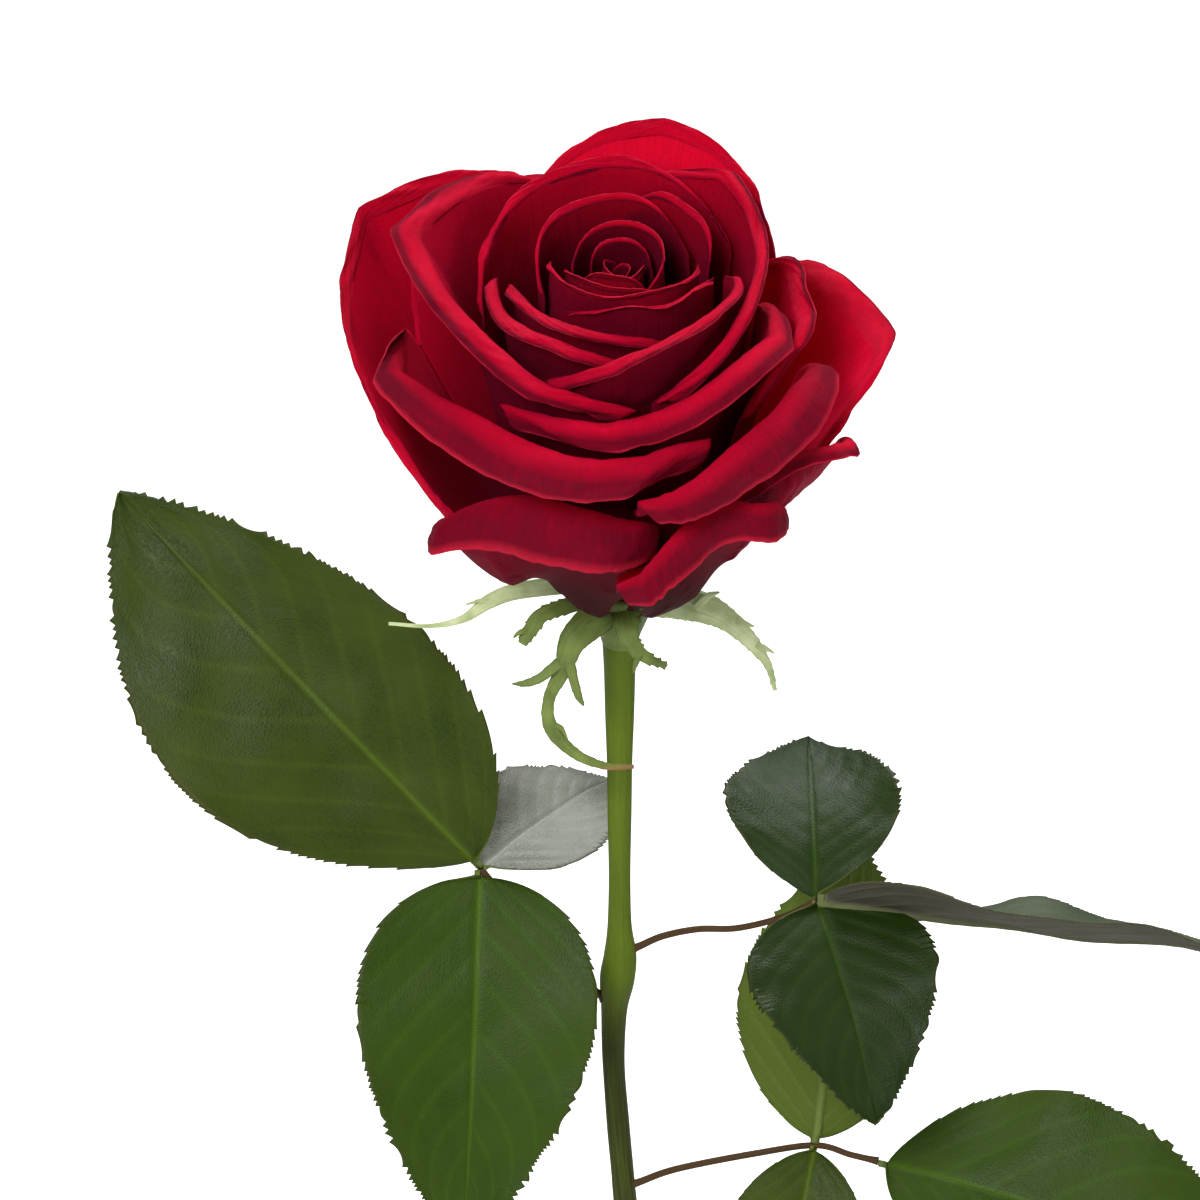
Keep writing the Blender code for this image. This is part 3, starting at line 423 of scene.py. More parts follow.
def free_petal(order, row):
    """(angle, radius, height) of a petal before it is seated, as arrays over ACROSS and ALONG."""
    name, facing, half, crest_radius, crest_height, lean, rim, turns, spiral, slant, cut = row
    side = np.linspace(-1, 1, ACROSS + 1)[:, None]
    lines = np.arange(ALONG + 1)[None, :]
    body = np.clip(lines / BODY_ROWS, 0, 1)
    rolled = np.clip((lines - BODY_ROWS) / (ALONG - BODY_ROWS), 0, 1)

    share = order / (len(PETALS) - 1)
    start_radius = 0.8 + (HIP_RADIUS - 1.6) * share
    crown = RECEPTACLE_CROWN * (start_radius / HIP_RADIUS) ** 2
    start_height = RECEPTACLE_RISE + TOUCH_GAP - crown
    wave = np.sin(3.1 * side + 2.4 * order) + 0.6 * np.sin(6.7 * side + 1.3 * order)
    tilted = abs(slant) * (1 + np.sign(slant) * side) / 2
    tau = body * (1 - cut * np.abs(side) ** 3 - tilted)
    radius, height, slope = cup_profile(
        crest_radius, crest_height, start_radius, start_height, lean, tau
    )
    ripple = WAVE * min(1.0, crest_radius / 20)
    radius = radius + spiral * side * tau**2 + ripple * wave * tau**4
    height = height + ripple * wave[::-1] * tau**4
    tip_at, tip_size = TIPS.get(name, (0.0, 0.0))
    tip = tip_size * np.exp(-np.abs(side - tip_at) / 0.22) * tau**5
    radius = radius + 0.8 * tip
    height = height + 0.4 * tip

    # The rim is followed in small steps, as its slope turns fast at first and then settles.
    first, middle, last = turns
    most = middle + (last - first) / 2 * side + ((first + last) / 2 - middle) * side**2
    most = np.radians(np.clip(most, 0, 160))
    settled = most * (1 - (1 - rolled) ** 2)
    length = rim * (1 - 0.55 * np.abs(side) ** 2.5) / (ALONG - BODY_ROWS)
    between = slope[:, BODY_ROWS:] - (settled[:, BODY_ROWS:] + settled[:, BODY_ROWS - 1:-1]) / 2
    steps = length * np.cos(between)
    radius[:, BODY_ROWS + 1:] += np.cumsum(steps[:, 1:], 1)
    steps = length * np.sin(between)
    height[:, BODY_ROWS + 1:] += np.cumsum(steps[:, 1:], 1)

    width = 0.30 + 0.70 * smooth(body * 1.25) - 0.12 * rolled**2
    angle = np.radians(facing + half * side * width)
    return angle, np.maximum(radius, 0.6), height


class Envelope:
    """How far out the petals laid so far reach, by angle about the flower's axis and height."""

    TURN = 144                  # bins round the axis
    LOWEST, HIGHEST = -6.0, 90.0
    STEP = 0.5                  # bin height

    def __init__(self):
        self.reach = np.zeros((self.TURN, int((self.HIGHEST - self.LOWEST) / self.STEP)))

    def bins(self, angle, height):
        turn = np.floor(angle / (2 * math.pi) * self.TURN).astype(int) % self.TURN
        level = np.floor((height - self.LOWEST) / self.STEP).astype(int)
        return turn, np.clip(level, 0, self.reach.shape[1] - 1)

    def add(self, angle, radius, height):
        fine = [refine(grid, 4) for grid in (angle, radius, height)]
        turn, level = self.bins(fine[0], fine[2])
        np.maximum.at(self.reach, (turn, level), fine[1])

    def needed(self, angle, height):
        """The radius reached so far at these places, neighbouring bins included."""
        wide = np.maximum.reduce([np.roll(self.reach, k, 0) for k in (-1, 0, 1)])
        tall = np.pad(wide, ((0, 0), (1, 1)), mode="edge")
        wide = np.maximum.reduce([tall[:, k:k + wide.shape[1]] for k in range(3)])
        return wide[self.bins(angle, height)]


def refine(grid, times):
    """The grid with each interval cut in a number of parts, straight between its own points."""
    for axis in (0, 1):
        count = grid.shape[axis]
        at = np.linspace(0, count - 1, (count - 1) * times + 1)
        low = np.minimum(at.astype(int), count - 2)
        part = (at - low).reshape((-1, 1) if axis == 0 else (1, -1))
        grid = np.take(grid, low, axis) * (1 - part) + np.take(grid, low + 1, axis) * part
    return grid


def spread(grid):
    """Each point as the largest near it, so that a solid's wide cells stay clear too."""
    for axis in (0, 1):
        padded = np.pad(grid, [(2, 2) if k == axis else (0, 0) for k in (0, 1)], mode="edge")
        parts = [np.take(padded, range(k, k + grid.shape[axis]), axis) for k in range(5)]
        grid = np.maximum.reduce(parts)
    return grid


def blurred(grid):
    """Each point as a mean over its neighbourhood, which is wider across the petal than along."""
    padded = np.pad(grid, ((3, 3), (1, 1)), mode="edge")
    across = sum(padded[k:k + grid.shape[0]] for k in range(7)) / 7
    return (across[:, :-2] + 2 * across[:, 1:-1] + across[:, 2:]) / 4


def seated_petals():
    """{name: (angle, radius, height)} of every petal, each clear of those inside it."""
    envelope = Envelope()
    seated = {}
    clear = PETAL_GAP + PETAL_THICKNESS
    for order, row in enumerate(PETALS):
        angle, radius, height = free_petal(order, row)
        short = envelope.needed(angle, height)
        short = np.where(short > 0, short + clear - radius, 0.0).clip(0)
        past_crest = np.arange(ALONG + 1)[None, :] >= BODY_ROWS
        short = np.maximum(short, short[:, BODY_ROWS:].max(1, keepdims=True) * past_crest)
        push = short = spread(short)
        for _ in range(SETTLING):
            push = np.maximum(short, blurred(push))
        radius = radius + push
        envelope.add(angle, radius, height)
        seated[row[0]] = (angle, radius, height)
    return seated


def above_mouth(point):
    """A place given from the middle of the vase's mouth, as one from the origin."""
    return (point[0], point[1], point[2] + MOUTH)


def flower_frame():
    """The flower's own frame in the world: X to its right, Y to its back, Z along its axis."""
    lean = math.radians(FLOWER_LEAN)
    turned = Matrix.Rotation(lean, 4, "X")
    return Matrix.Translation(Vector(above_mouth(FLOWER_BASE))) @ turned


def grid_normals(points):
    """Unit normals of a grid of points."""
    across = np.gradient(points, axis=0)
    along = np.gradient(points, axis=1)
    normal = np.cross(across, along)
    length = np.linalg.norm(normal, axis=-1, keepdims=True)
    return normal / np.maximum(length, 1e-9)


def curve_through(points, count):
    """So many points, or rows of points, spread along a smooth curve through the given ones."""
    known = np.asarray(points, float)
    ends = np.concatenate([2 * known[:1] - known[1:2], known, 2 * known[-1:] - known[-2:-1]])
    at = np.linspace(0, len(known) - 1, count)
    piece = np.minimum(at.astype(int), len(known) - 2)
    t = (at - piece).reshape((-1,) + (1,) * (known.ndim - 1))
    before, start, end, after = (ends[piece + k] for k in range(4))
    return 0.5 * (
        2 * start
        + (end - before) * t
        + (2 * before - 5 * start + 4 * end - after) * t**2
        + (3 * start - before - 3 * end + after) * t**3
    )


def vase_radius(height):
    """The vase's outside radius at a height."""
    if height < VASE_BELLY_HEIGHT:
        share = height / VASE_BELLY_HEIGHT
        swell = math.sin(share * math.pi / 2)
        return VASE_FOOT_RADIUS + (VASE_BELLY_RADIUS - VASE_FOOT_RADIUS) * swell
    if height < VASE_NECK_HEIGHT:
        share = (height - VASE_BELLY_HEIGHT) / (VASE_NECK_HEIGHT - VASE_BELLY_HEIGHT)
        swell = (1 + math.cos(share * math.pi)) / 2
        return VASE_NECK_RADIUS + (VASE_BELLY_RADIUS - VASE_NECK_RADIUS) * swell
    share = (height - VASE_NECK_HEIGHT) / (VASE_HEIGHT - VASE_NECK_HEIGHT)
    return VASE_NECK_RADIUS + (VASE_LIP_RADIUS - VASE_NECK_RADIUS) * share**3


def hip_profile():
    edge = RECEPTACLE_RISE - RECEPTACLE_CROWN
    return [
        (0.0, -HIP_LENGTH),
        (HIP_FOOT_RADIUS, -HIP_LENGTH),
        (HIP_FOOT_RADIUS + 0.5, -HIP_LENGTH * 0.8),
        (HIP_RADIUS * 0.78, -HIP_LENGTH * 0.5),
        (HIP_RADIUS * 0.94, -HIP_LENGTH * 0.2),
        (HIP_RADIUS, 0.0),
        (HIP_RADIUS * 0.97, edge * 0.8),
        (HIP_RADIUS * 0.85, edge + RECEPTACLE_CROWN * 0.25),
        (HIP_RADIUS * 0.5, edge + RECEPTACLE_CROWN * 0.75),
        (0.0, RECEPTACLE_RISE),
    ]


def unit(vector):
    return np.asarray(vector, float) / np.linalg.norm(vector)


def tangents_of(line):
    """Unit directions along a line of points."""
    ahead = np.gradient(line, axis=0)
    return ahead / np.linalg.norm(ahead, axis=1, keepdims=True)


def lengths_of(line):
    """How far each point of a line is from its start, along it."""
    return np.concatenate([[0], np.cumsum(np.linalg.norm(np.diff(line, axis=0), axis=1))])


def round_turns(sides):
    return np.linspace(0, 2 * math.pi, sides, endpoint=False)


def stalk_line(name):
    """A stalk's points, from beside the stem to its last leaflet."""
    height, points = STALKS[name]
    line = stem_line(stem_path())
    beside = line[np.argmin(np.abs(line[:, 2] - height - MOUTH))]
    points = [above_mouth(point) for point in points]
    outwards = unit((points[0][0] - beside[0], points[0][1] - beside[1], 0.0))
    start = beside[:3] + outwards * (beside[3] + TOUCH_GAP + STALK_RADII[0])
    return [tuple(start)] + points


def stem_path():
    """(x, y, z, radius) along the stem: up through the vase, and from its mouth to the hip."""
    plain = STEM_THICKNESS / 2
    lean = VASE_NECK_RADIUS - VASE_WALL - plain - NECK_CLEARANCE
    neck = VASE_NECK_HEIGHT + 0.4 * (VASE_HEIGHT - VASE_NECK_HEIGHT)
    path = [
        (0.8, 1.0, VASE_FLOOR + TOUCH_GAP, plain),
        (1.5, -0.45 * lean, 0.47 * VASE_HEIGHT, plain),
        (1.4, -lean, neck, plain),
    ]
    path += [(*above_mouth(point[:3]), point[3] * plain) for point in STEM_ABOVE]
    top = flower_frame() @ Vector((0, 0, -HIP_LENGTH - TOUCH_GAP))
    path.append((*top, HIP_FOOT_RADIUS - 0.15))
    return path


def stem_line(path):
    return curve_through(path, 3 * (len(path) - 1) + 1)


def finer(grid, times):
    """The grid with each interval cut in parts, along smooth curves through its points."""
    for axis in (0, 1):
        rows = np.moveaxis(grid, axis, 0)
        rows = curve_through(rows, (len(rows) - 1) * times + 1)
        grid = np.moveaxis(rows, 0, axis)
    return grid


def ripples(dice, across, along, longest, shortest, slant=1.0):
    """Waves of about -1 to 1 over a sheet, between two lengths. A low slant runs them along it."""
    total = 0.0
    for size in np.geomspace(longest, shortest, 5):
        turn = dice.uniform(-0.5, 0.5) * math.pi * slant
        phase = dice.uniform(0, 2 * math.pi)
        travel = across * math.cos(turn) + along * math.sin(turn)
        total = total + np.sin(2 * math.pi * travel / size + phase)
    return total / 2.6


def joined_mesh(name, parts):
    """One mesh of several parts, each a set of points, their quads and their maps."""
    first = np.cumsum([0] + [len(part["points"]) for part in parts[:-1]])
    points = np.concatenate([part["points"] for part in parts]) * MM
    quads = np.concatenate([part["quads"] + start for part, start in zip(parts, first)])
    mesh = bpy.data.meshes.new(name)
    mesh.vertices.add(len(points))
    mesh.vertices.foreach_set("co", points.astype(np.float32).ravel())
    mesh.loops.add(quads.size)
    mesh.loops.foreach_set("vertex_index", quads.astype(np.int32).ravel())
    mesh.polygons.add(len(quads))
    mesh.polygons.foreach_set("loop_start", np.arange(0, quads.size, 4, dtype=np.int32))
    for map_name in ("vein_and_painted_shade", "rim", "under"):
        values = np.concatenate([part[map_name] for part in parts])
        layer = mesh.attributes.new(map_name, "FLOAT", "POINT")
        layer.data.foreach_set("value", values.astype(np.float32))
    layer = mesh.attributes.new("grain", "FLOAT_VECTOR", "POINT")
    values = np.concatenate([part["grain"] for part in parts])
    layer.data.foreach_set("vector", values.astype(np.float32).ravel())
    mesh.update(calc_edges=True)
    mesh.validate()
    mesh.shade_smooth()
    return mesh


def closed_sheet(points, up, above, below, grain, vein_and_painted_shade=0.0, rim=0.0):
    """A thin closed sheet about a grid of points: so far above it along up, and so far below."""
    rows, columns = points.shape[:2]
    shape = (rows, columns)
    above, below, vein_and_painted_shade, rim = (np.broadcast_to(v, shape) for v in (above, below, vein_and_painted_shade, rim))
    grain = np.broadcast_to(grain, shape + (3,))
    top = points + up * above[..., None]
    under = points - up * below[..., None]
    index = np.arange(rows * columns).reshape(shape)
    corners = [index[:-1, :-1], index[1:, :-1], index[1:, 1:], index[:-1, 1:]]
    quads = np.stack([c.ravel() for c in corners], 1)
    if (grid_normals(points) * up).sum() < 0:
        quads = quads[:, ::-1]
    lower = quads[:, ::-1] + rows * columns
    loop = np.concatenate([index[0, :-1], index[:-1, -1], index[-1, :0:-1], index[:0:-1, 0]])
    after = np.roll(loop, -1)
    edge = np.stack([loop, after, after + rows * columns, loop + rows * columns], 1)
    if (grid_normals(points) * up).sum() < 0:
        edge = edge[:, ::-1]
    flat = (-1, 3)
    return {
        "points": np.concatenate([top.reshape(flat), under.reshape(flat)]),
        "quads": np.concatenate([quads, lower, edge]),
        "grain": np.tile(grain.reshape(flat), (2, 1)),
        "vein_and_painted_shade": np.tile(vein_and_painted_shade.ravel(), 2),
        "rim": np.tile(rim.ravel(), 2),
        "under": np.repeat([0.0, 1.0], rows * columns),
    }


def ringed(points, sides, grain):
    """Rings of points joined into one closed skin, with plain maps."""
    index = np.arange(len(points)).reshape(-1, sides)
    beside = np.roll(index, -1, 1)
    corners = [index[:-1], beside[:-1], beside[1:], index[1:]]
    part = {"points": points, "grain": grain, "quads": np.stack([c.ravel() for c in corners], 1)}
    return part | {name: np.zeros(len(points)) for name in ("vein_and_painted_shade", "rim", "under")}


def round_tube(middle, radii, sides):
    """A closed tube about a line of points, its ends drawn together."""
    tangents = tangents_of(middle)
    turns = round_turns(sides)
    across = np.cross(tangents[0], (0.0, 1.0, 0.0))
    rings = []
    for point, tangent, radius in zip(middle, tangents, radii):
        across = unit(across - tangent * across.dot(tangent))
        other = np.cross(tangent, across)
        spokes = np.cos(turns)[:, None] * across + np.sin(turns)[:, None] * other
        rings.append(point + spokes * np.reshape(radius, (-1, 1)))
    rings = [np.repeat(middle[:1], sides, 0)] + rings + [np.repeat(middle[-1:], sides, 0)]
    points = np.concatenate(rings)
    length = lengths_of(middle)
    length = np.concatenate([length[:1], length, length[-1:]])
    girth = 2 * math.pi * np.mean(radii) * np.arange(sides) / sides
    grain = np.stack(np.broadcast_arrays(girth[None, :], length[:, None], 0.0), -1)
    return ringed(points, sides, grain.reshape(-1, 3))


def turned(profile, sides, placed=Matrix.Identity(4)):
    """A closed solid of revolution: the profile runs from the axis outwards and back to it."""
    profile = np.asarray(profile, float)
    turns = round_turns(sides)
    radius, height = profile[:, :1], profile[:, 1:]
    circle = [radius * np.cos(turns), radius * np.sin(turns), height + 0 * turns]
    points = np.stack(circle, -1).reshape(-1, 3)
    placed = np.array(placed)
    return ringed(points @ placed[:3, :3].T + placed[:3, 3], sides, points)


def added(name, data):
    """A new object of the scene."""
    item = bpy.data.objects.new(name, data)
    bpy.context.scene.collection.objects.link(item)
    return item


def piece(name, parts, node, slot, material):
    """A shown piece that stands for a node of the frame."""
    item = added(name, joined_mesh(name, parts))
    item.data.materials.append(material)
    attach(item, BODY)
    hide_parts(node)
    return item


def petal_part(order, row, seated):
    """One petal as a closed sheet: thin, wavy towards its rim, and creased along its length."""
    angle, radius, height = seated
    local = np.stack([radius * np.cos(angle), radius * np.sin(angle), height], -1)
    points = finer(local, PETAL_FINER)
    crest_radius, rim_long, turns = row[3], row[6], row[7]
    dice = np.random.default_rng(100 + order)
    rows, columns = points.shape[:2]
    side = np.linspace(-1, 1, rows)[:, None]
    share = np.linspace(0, 1, columns)[None, :]
    crest = BODY_ROWS * PETAL_FINER
    wide = np.linalg.norm(np.diff(points[:, crest], axis=0), axis=1).sum()
    long = np.linalg.norm(np.diff(points[rows // 2], axis=0), axis=1).sum()
    across, along = side * wide / 2, share * long

    # The rim is drawn back here and there, so that its outline isn't even.
    loose = min(1.0, crest_radius / PETAL_LOOSE)
    uneven = 0.5 + 0.5 * ripples(dice, across, 0, 16, 3)
    places = dice.uniform(-wide / 2, wide / 2, RIM_NICKS)
    depths = dice.uniform(0.2, 0.9, RIM_NICKS)
    nicks = sum(
        depth * np.exp(-((across - place) / 0.7) ** 2) for place, depth in zip(places, depths)
    )
    drawn = loose * (RIM_UNEVEN * uneven + 0.7 * nicks) / long * share**10
    at = np.clip(share - drawn, 0, 1) * (columns - 1)
    low = np.minimum(at.astype(int), columns - 2)
    part = (at - low)[..., None]
    line = np.arange(rows)[:, None]
    points = points[line, low] * (1 - part) + points[line, low + 1] * part

    up = -grid_normals(points)      # towards the petal's inner face
    near_rim = smooth((share - 0.45) / 0.5)
    free = smooth((share - 0.25) / 0.5)
    sway = PETAL_SWAY * near_rim * ripples(dice, across, along, 26, 11, 0.5)
    frill = PETAL_FRILL * near_rim**2 * ripples(dice, across, along, 9, 4, 0.5)
    crease = PETAL_CREASE * free * ripples(dice, across, along, 3.2, 1.3, 0.25)
    points = points + up * (loose * (sway + frill) + crease)[..., None]
    up = -grid_normals(points)

    # It thins out towards its edges, and its maps of painted light and rim fade with the distance
    # from its rim.
    from_rim = (1 - share) * long
    edge = np.minimum(1 - np.abs(side), 0.02 + 0 * share) * wide / 2
    edge = np.minimum(edge, from_rim)
    thick = PETAL_THICK * (0.45 + 0.55 * smooth(edge / 1.2))
    light = np.exp(-from_rim / (DEPTH_FADE[0] + DEPTH_FADE[1] * crest_radius)) + 0 * side
    fade = ROLL_FADE * rim_long if max(turns) > ROLLED else RIM_FADE
    rim = np.exp(-from_rim / fade) + 0 * side
    grain = np.stack(np.broadcast_arrays(across, along, 17.0 * order), -1)
    flower = np.array(flower_frame())
    points = points @ flower[:3, :3].T + flower[:3, 3]
    up = up @ flower[:3, :3].T
    return closed_sheet(points, up, thick / 2, thick / 2, grain, light, rim)


def make_petals():
    for order, (row, seated) in enumerate(zip(PETALS, seated_petals().values())):
        part = petal_part(order, row, seated)
        piece("rose_" + row[0], [part], row[0], "petal", red_petal)


def leaf_width(name, half, body, side):
    """A leaflet's half width at these shares of its length, on its left or its right side."""
    left, right = (
        half * share * np.sin(math.pi * body**bulge) ** 0.7 * (1 - 0.25 * body**5)
        for share, bulge in LEAF_SHAPES.get(name, LEAF_SHAPES["other"])
    )
    return np.maximum(np.where(side < 0, left, right), 0.4)


def leaf_part(row, seed):
    """One leaflet: forward teeth, a sunk midrib, side veins and puffed tissue between them."""
    name, at, leaves, tip, facing, half, arch, twist, droop = row
    grown_from = np.asarray(stalk_line(name.partition("_leaflet")[0] + "_stalk")[at])
    base = grown_from + unit(leaves) * (STALK_RADII[1] * 0.5)
    tip = np.asarray(above_mouth(tip))
    dice = np.random.default_rng(seed)
    long = np.linalg.norm(tip - base)
    ahead = unit(tip - base)
    side = unit(np.cross(ahead, facing))
    up = np.cross(side, ahead)
    t = np.linspace(0, 1, LEAF_LINES + 1)[:, None]
    s = np.linspace(-1, 1, LEAF_CELLS + 1)[None, :]
    body = np.clip((t - LEAF_NECK) / (1 - LEAF_NECK), 0, 1)
    width = leaf_width(name, half, body, s)

    # Teeth point forwards: the margin runs out slowly and cuts back at once.
    left_right = np.sign(s)
    pitch = TOOTH_LONG * (1 + 0.18 * np.sin(23 * t + 2 * left_right + seed))
    count = t * long / pitch + 0.37 * left_right
    tooth = (count % 1) ** 1.3 * smooth(body / 0.08) * smooth((1 - body) / 0.04)
    bite = min(1.0, half / 20) * TOOTH_DEEP * (0.75 + 0.25 * np.sin(9 * t + seed)) * (tooth - 0.5)
    reach = width * s + left_right * bite * np.abs(s) ** TOOTH_BAND
    forward = 0.5 * TOOTH_DEEP * tooth * np.abs(s) ** TOOTH_BAND

    # Side veins leave the midrib at a slant and bend towards the tip.
    veins = VEIN_PAIRS * (t - 0.27 * np.abs(s) - 0.10 * s * s) + 0.25 * left_right
    veins = veins + 0.10 * np.sin(7 * t + 3 * s + seed)
    off_vein = np.abs(veins - np.round(veins)) / VEIN_PAIRS * long * 0.8
    fade = smooth(np.abs(s) * 12) * (1 - smooth((np.abs(s) - 0.80) / 0.18))
    fade = fade * smooth(t * 10) * smooth((1 - t) * 9)
    side_vein = np.exp(-((off_vein / SIDE_VEIN) ** 2)) * fade
    off_middle = np.abs(s) * width
    midrib = np.exp(-((off_middle / (MIDRIB * (1.15 - t))) ** 2)) * (1 - 0.5 * t)
    puff = np.sin(math.pi * (veins - np.floor(veins))) ** 2 * fade

    middle = base + (tip - base) * t[..., None]
    bend = 4 * arch * t * (1 - t) - droop * t**2 * 3
    turned_by = np.radians(twist) * (1 - smooth(t * 2))
    over = np.cos(turned_by)[..., None]
    tilt = np.sin(turned_by)[..., None]
    across = side * over + up * tilt
    above = up * over - side * tilt
    lift = LEAF_CUP * half * np.abs(s) ** 1.5 * np.sin(math.pi * t)
    lift = lift + LEAF_WAVE * half * np.sin(9 * t + 2 * left_right) * s**2
    lift = lift + LEAF_FRILL * half * np.abs(s) ** 3 * np.sin(26 * t + 3 * left_right + seed)
    lift = lift - LEAF_GROOVE * midrib - SIDE_GROOVE * side_vein + LEAF_PUFF * half * puff
    lift = lift + LEAF_DENTS * ripples(dice, s * half, t * long, 7, 3)
    lift = lift + LEAF_BUCKLE * ripples(dice, s * half, t * long, 34, 14) * smooth(t * 4)
    points = middle + up * bend[..., None] + ahead * forward[..., None]
    points = points + across * reach[..., None] + above * lift[..., None]
    normal = grid_normals(points)
    if (normal * up).sum() < 0:
        normal = -normal
    rib = RIB_BELOW[0] * (1 - 0.6 * t) * midrib + RIB_BELOW[1] * side_vein
    grain = np.stack(np.broadcast_arrays(s * half, t * long, 31.0 * seed), -1)
    vein_and_painted_shade = np.maximum(midrib, 0.2 * side_vein)
    rim = smooth((np.abs(s) - 0.93) / 0.07) + 0 * t
    return closed_sheet(points, normal, LEAF_THICK / 2, LEAF_THICK / 2 + rib, grain, vein_and_painted_shade, rim)


def make_leaves():
    for name in STALKS:
        points = stalk_line(name)
        start = np.asarray(points[0])
        inwards = unit(start - np.asarray(points[1]))
        points = [tuple(start + inwards * STALK_SUNK)] + points
        middle = curve_through(points, 12 * (len(points) - 1) + 1)
        share = np.linspace(0, 1, len(middle))
        radii = STALK_RADII[0] + (STALK_RADII[1] - STALK_RADII[0]) * share
        radii = radii * (1 + 0.7 * np.exp(-share * 14) + 0.45 * np.exp(-(1 - share) * 22))
        part = round_tube(middle, radii, STALK_SIDES)
        piece(name.replace("leaf", "rose_leaf"), [part], name, "stalk", red_stalk)
    for seed, row in enumerate(LEAFLETS):
        skin = leaf_tones[LEAFLET_TONES.get(row[0], "leaf_green")]
        piece("rose_" + row[0], [leaf_part(row, seed)], row[0], "leaf", skin)


def ribbon(path, seed, rows, cells, teeth):
    """A pointed ribbon of tissue along x, y, z, half width, facing -Y."""
    path = curve_through(path, rows + 1)
    middle, half = path[:, :3], np.maximum(path[:, 3], 0.10)[:, None]
    ahead = tangents_of(middle)
    side = np.cross(ahead, (0.0, -1.0, 0.2))
    side /= np.linalg.norm(side, axis=1, keepdims=True)
    long = lengths_of(middle)[:, None]
    s = np.linspace(-1, 1, cells + 1)[None, :]
    tooth = (long / SEPAL_TOOTH_LONG + 0.4 * np.sign(s) + 0.3 * np.sin(long)) % 1
    reach = half * s + np.sign(s) * teeth * tooth**2 * np.abs(s) ** 6
    up = np.cross(side, ahead)[:, None]
    points = middle[:, None] + side[:, None] * reach[..., None]
    points = points + up * (SEPAL_CUP * half * (1 - s**2))[..., None]
    grain = np.stack(np.broadcast_arrays(half * s, long, 7.0 * seed), -1)
    vein_and_painted_shade = np.exp(-((s * half / 0.35) ** 2))
    normal = grid_normals(points)
    if (normal * up).sum() < 0:
        normal = -normal
    rim = smooth((np.abs(s) - 0.7) / 0.3) + 0 * long
    below = SEPAL_HALF_THICK + SEPAL_RIB * vein_and_painted_shade
    return closed_sheet(points, normal, SEPAL_HALF_THICK, below, grain, vein_and_painted_shade, rim)


def make_sepals():
    """Each sepal is a main ribbon with the side lobes that a rose's sepals carry."""
    base = np.asarray(above_mouth(FLOWER_BASE))
    for seed, (name, (angle, half_width, beyond)) in enumerate(SEPALS.items()):
        turn = math.radians(angle)
        away = HIP_RADIUS * 0.93
        start = flower_frame() @ Vector((away * math.cos(turn), away * math.sin(turn), 0.5))
        line = [(*start, half_width)]
        line += [(*(base + point[:3]), SEPAL_SLIM * point[3]) for point in beyond]
        parts = [ribbon(line, seed, 90, 12, SEPAL_TEETH[name])]
        for lobe in SEPAL_LOBES.get(name, ()):
            path = [(*(base + point[:3]), SEPAL_SLIM * point[3]) for point in lobe]
            parts.append(ribbon(path, seed + 20, 36, 6, LOBE_TEETH))
        skin = pale_lit_sepal if name in PALE_LIT_SEPALS else green_sepal
        piece("rose_" + name, parts, name, "sepal", skin)


def make_stem():
    line = curve_through(stem_path(), 340)
    middle, radii = line[:, :3], line[:, 3]
    turns = round_turns(STEM_SIDES)[None, :]
    height = middle[:, 2:3]
    ridges = 0.045 * np.sin(5 * turns + height / 40) + 0.02 * np.sin(9 * turns - height / 23)
    knots = 0.05 * np.sin(height / 7) + 0.03 * np.sin(height / 2.9 + 2 * turns)
    part = round_tube(middle, radii[:, None] + ridges + knots, STEM_SIDES)
    piece("rose_stem", [part], "stem", "stem", green_stem)


def make_hip():
    profile = curve_through([(r, z, 0) for r, z in hip_profile()[1:-1]], 60)[:, :2]
    profile = np.vstack([(0.0, -HIP_LENGTH), profile, (0.0, RECEPTACLE_RISE)])
    piece("rose_hip", [turned(profile, 48, flower_frame())], "hip", "sepal", green_sepal)


def make_vase():
    rim = VASE_WALL / 2
    foot = [(VASE_FOOT_RADIUS - 2.0, 0.0), (VASE_FOOT_RADIUS - 1.0, 0.1)]
    foot += [(VASE_FOOT_RADIUS - 0.5, 0.5), (VASE_FOOT_RADIUS, 1.2)]
    outside = [(vase_radius(z), z) for z in np.linspace(2.0, VASE_HEIGHT - rim, 110)]
    lip = [
        (VASE_LIP_RADIUS - rim + rim * math.cos(a), VASE_HEIGHT - rim + rim * math.sin(a))
        for a in np.linspace(0, math.pi, 15)[1:-1]
    ]
    heights = np.linspace(VASE_HEIGHT - rim, VASE_FLOOR + 5.0, 90)
    inside = [(vase_radius(z) - VASE_WALL, z) for z in heights]
    corner = inside[-1][0]
    inside += [
        (corner - 0.5, VASE_FLOOR + 2.6), (corner - 1.8, VASE_FLOOR + 0.9),
        (corner - 4.0, VASE_FLOOR + 0.15), (corner - 6.0, VASE_FLOOR),
    ]
    profile = [(0.0, 0.0)] + foot + outside + lip + inside + [(0.0, VASE_FLOOR)]
    piece("bud_vase", [turned(profile, 96)], "vase", "vase", vase_glaze)


def node(tree, kind, inputs=(), **settings):
    """A shader node with its settings, and its inputs set or linked."""
    made = tree.nodes.new("ShaderNode" + kind)
    for key, value in settings.items():
        setattr(made, key, value)
    for key, value in dict(inputs).items():
        if isinstance(value, bpy.types.NodeSocket):
            tree.links.new(value, made.inputs[key])
        else:
            made.inputs[key].default_value = value
    return made


def mixed(tree, share, first, second):
    """first where share is 0 and second where it is 1, as a colour."""
    inputs = {0: share, 6: colour(first), 7: colour(second)}
    return node(tree, "Mix", inputs, data_type="RGBA").outputs[2]


def layered(tree, base, *layers):
    """A colour with others laid over it in turn, each given as its share and itself."""
    for share, over in layers:
        base = mixed(tree, share, base, over)
    return base


def colour(value):
    return value if isinstance(value, bpy.types.NodeSocket) else (*value, 1.0)


def sum_of(tree, first, second):
    return node(tree, "Math", {0: first, 1: second}, operation="ADD").outputs[0]


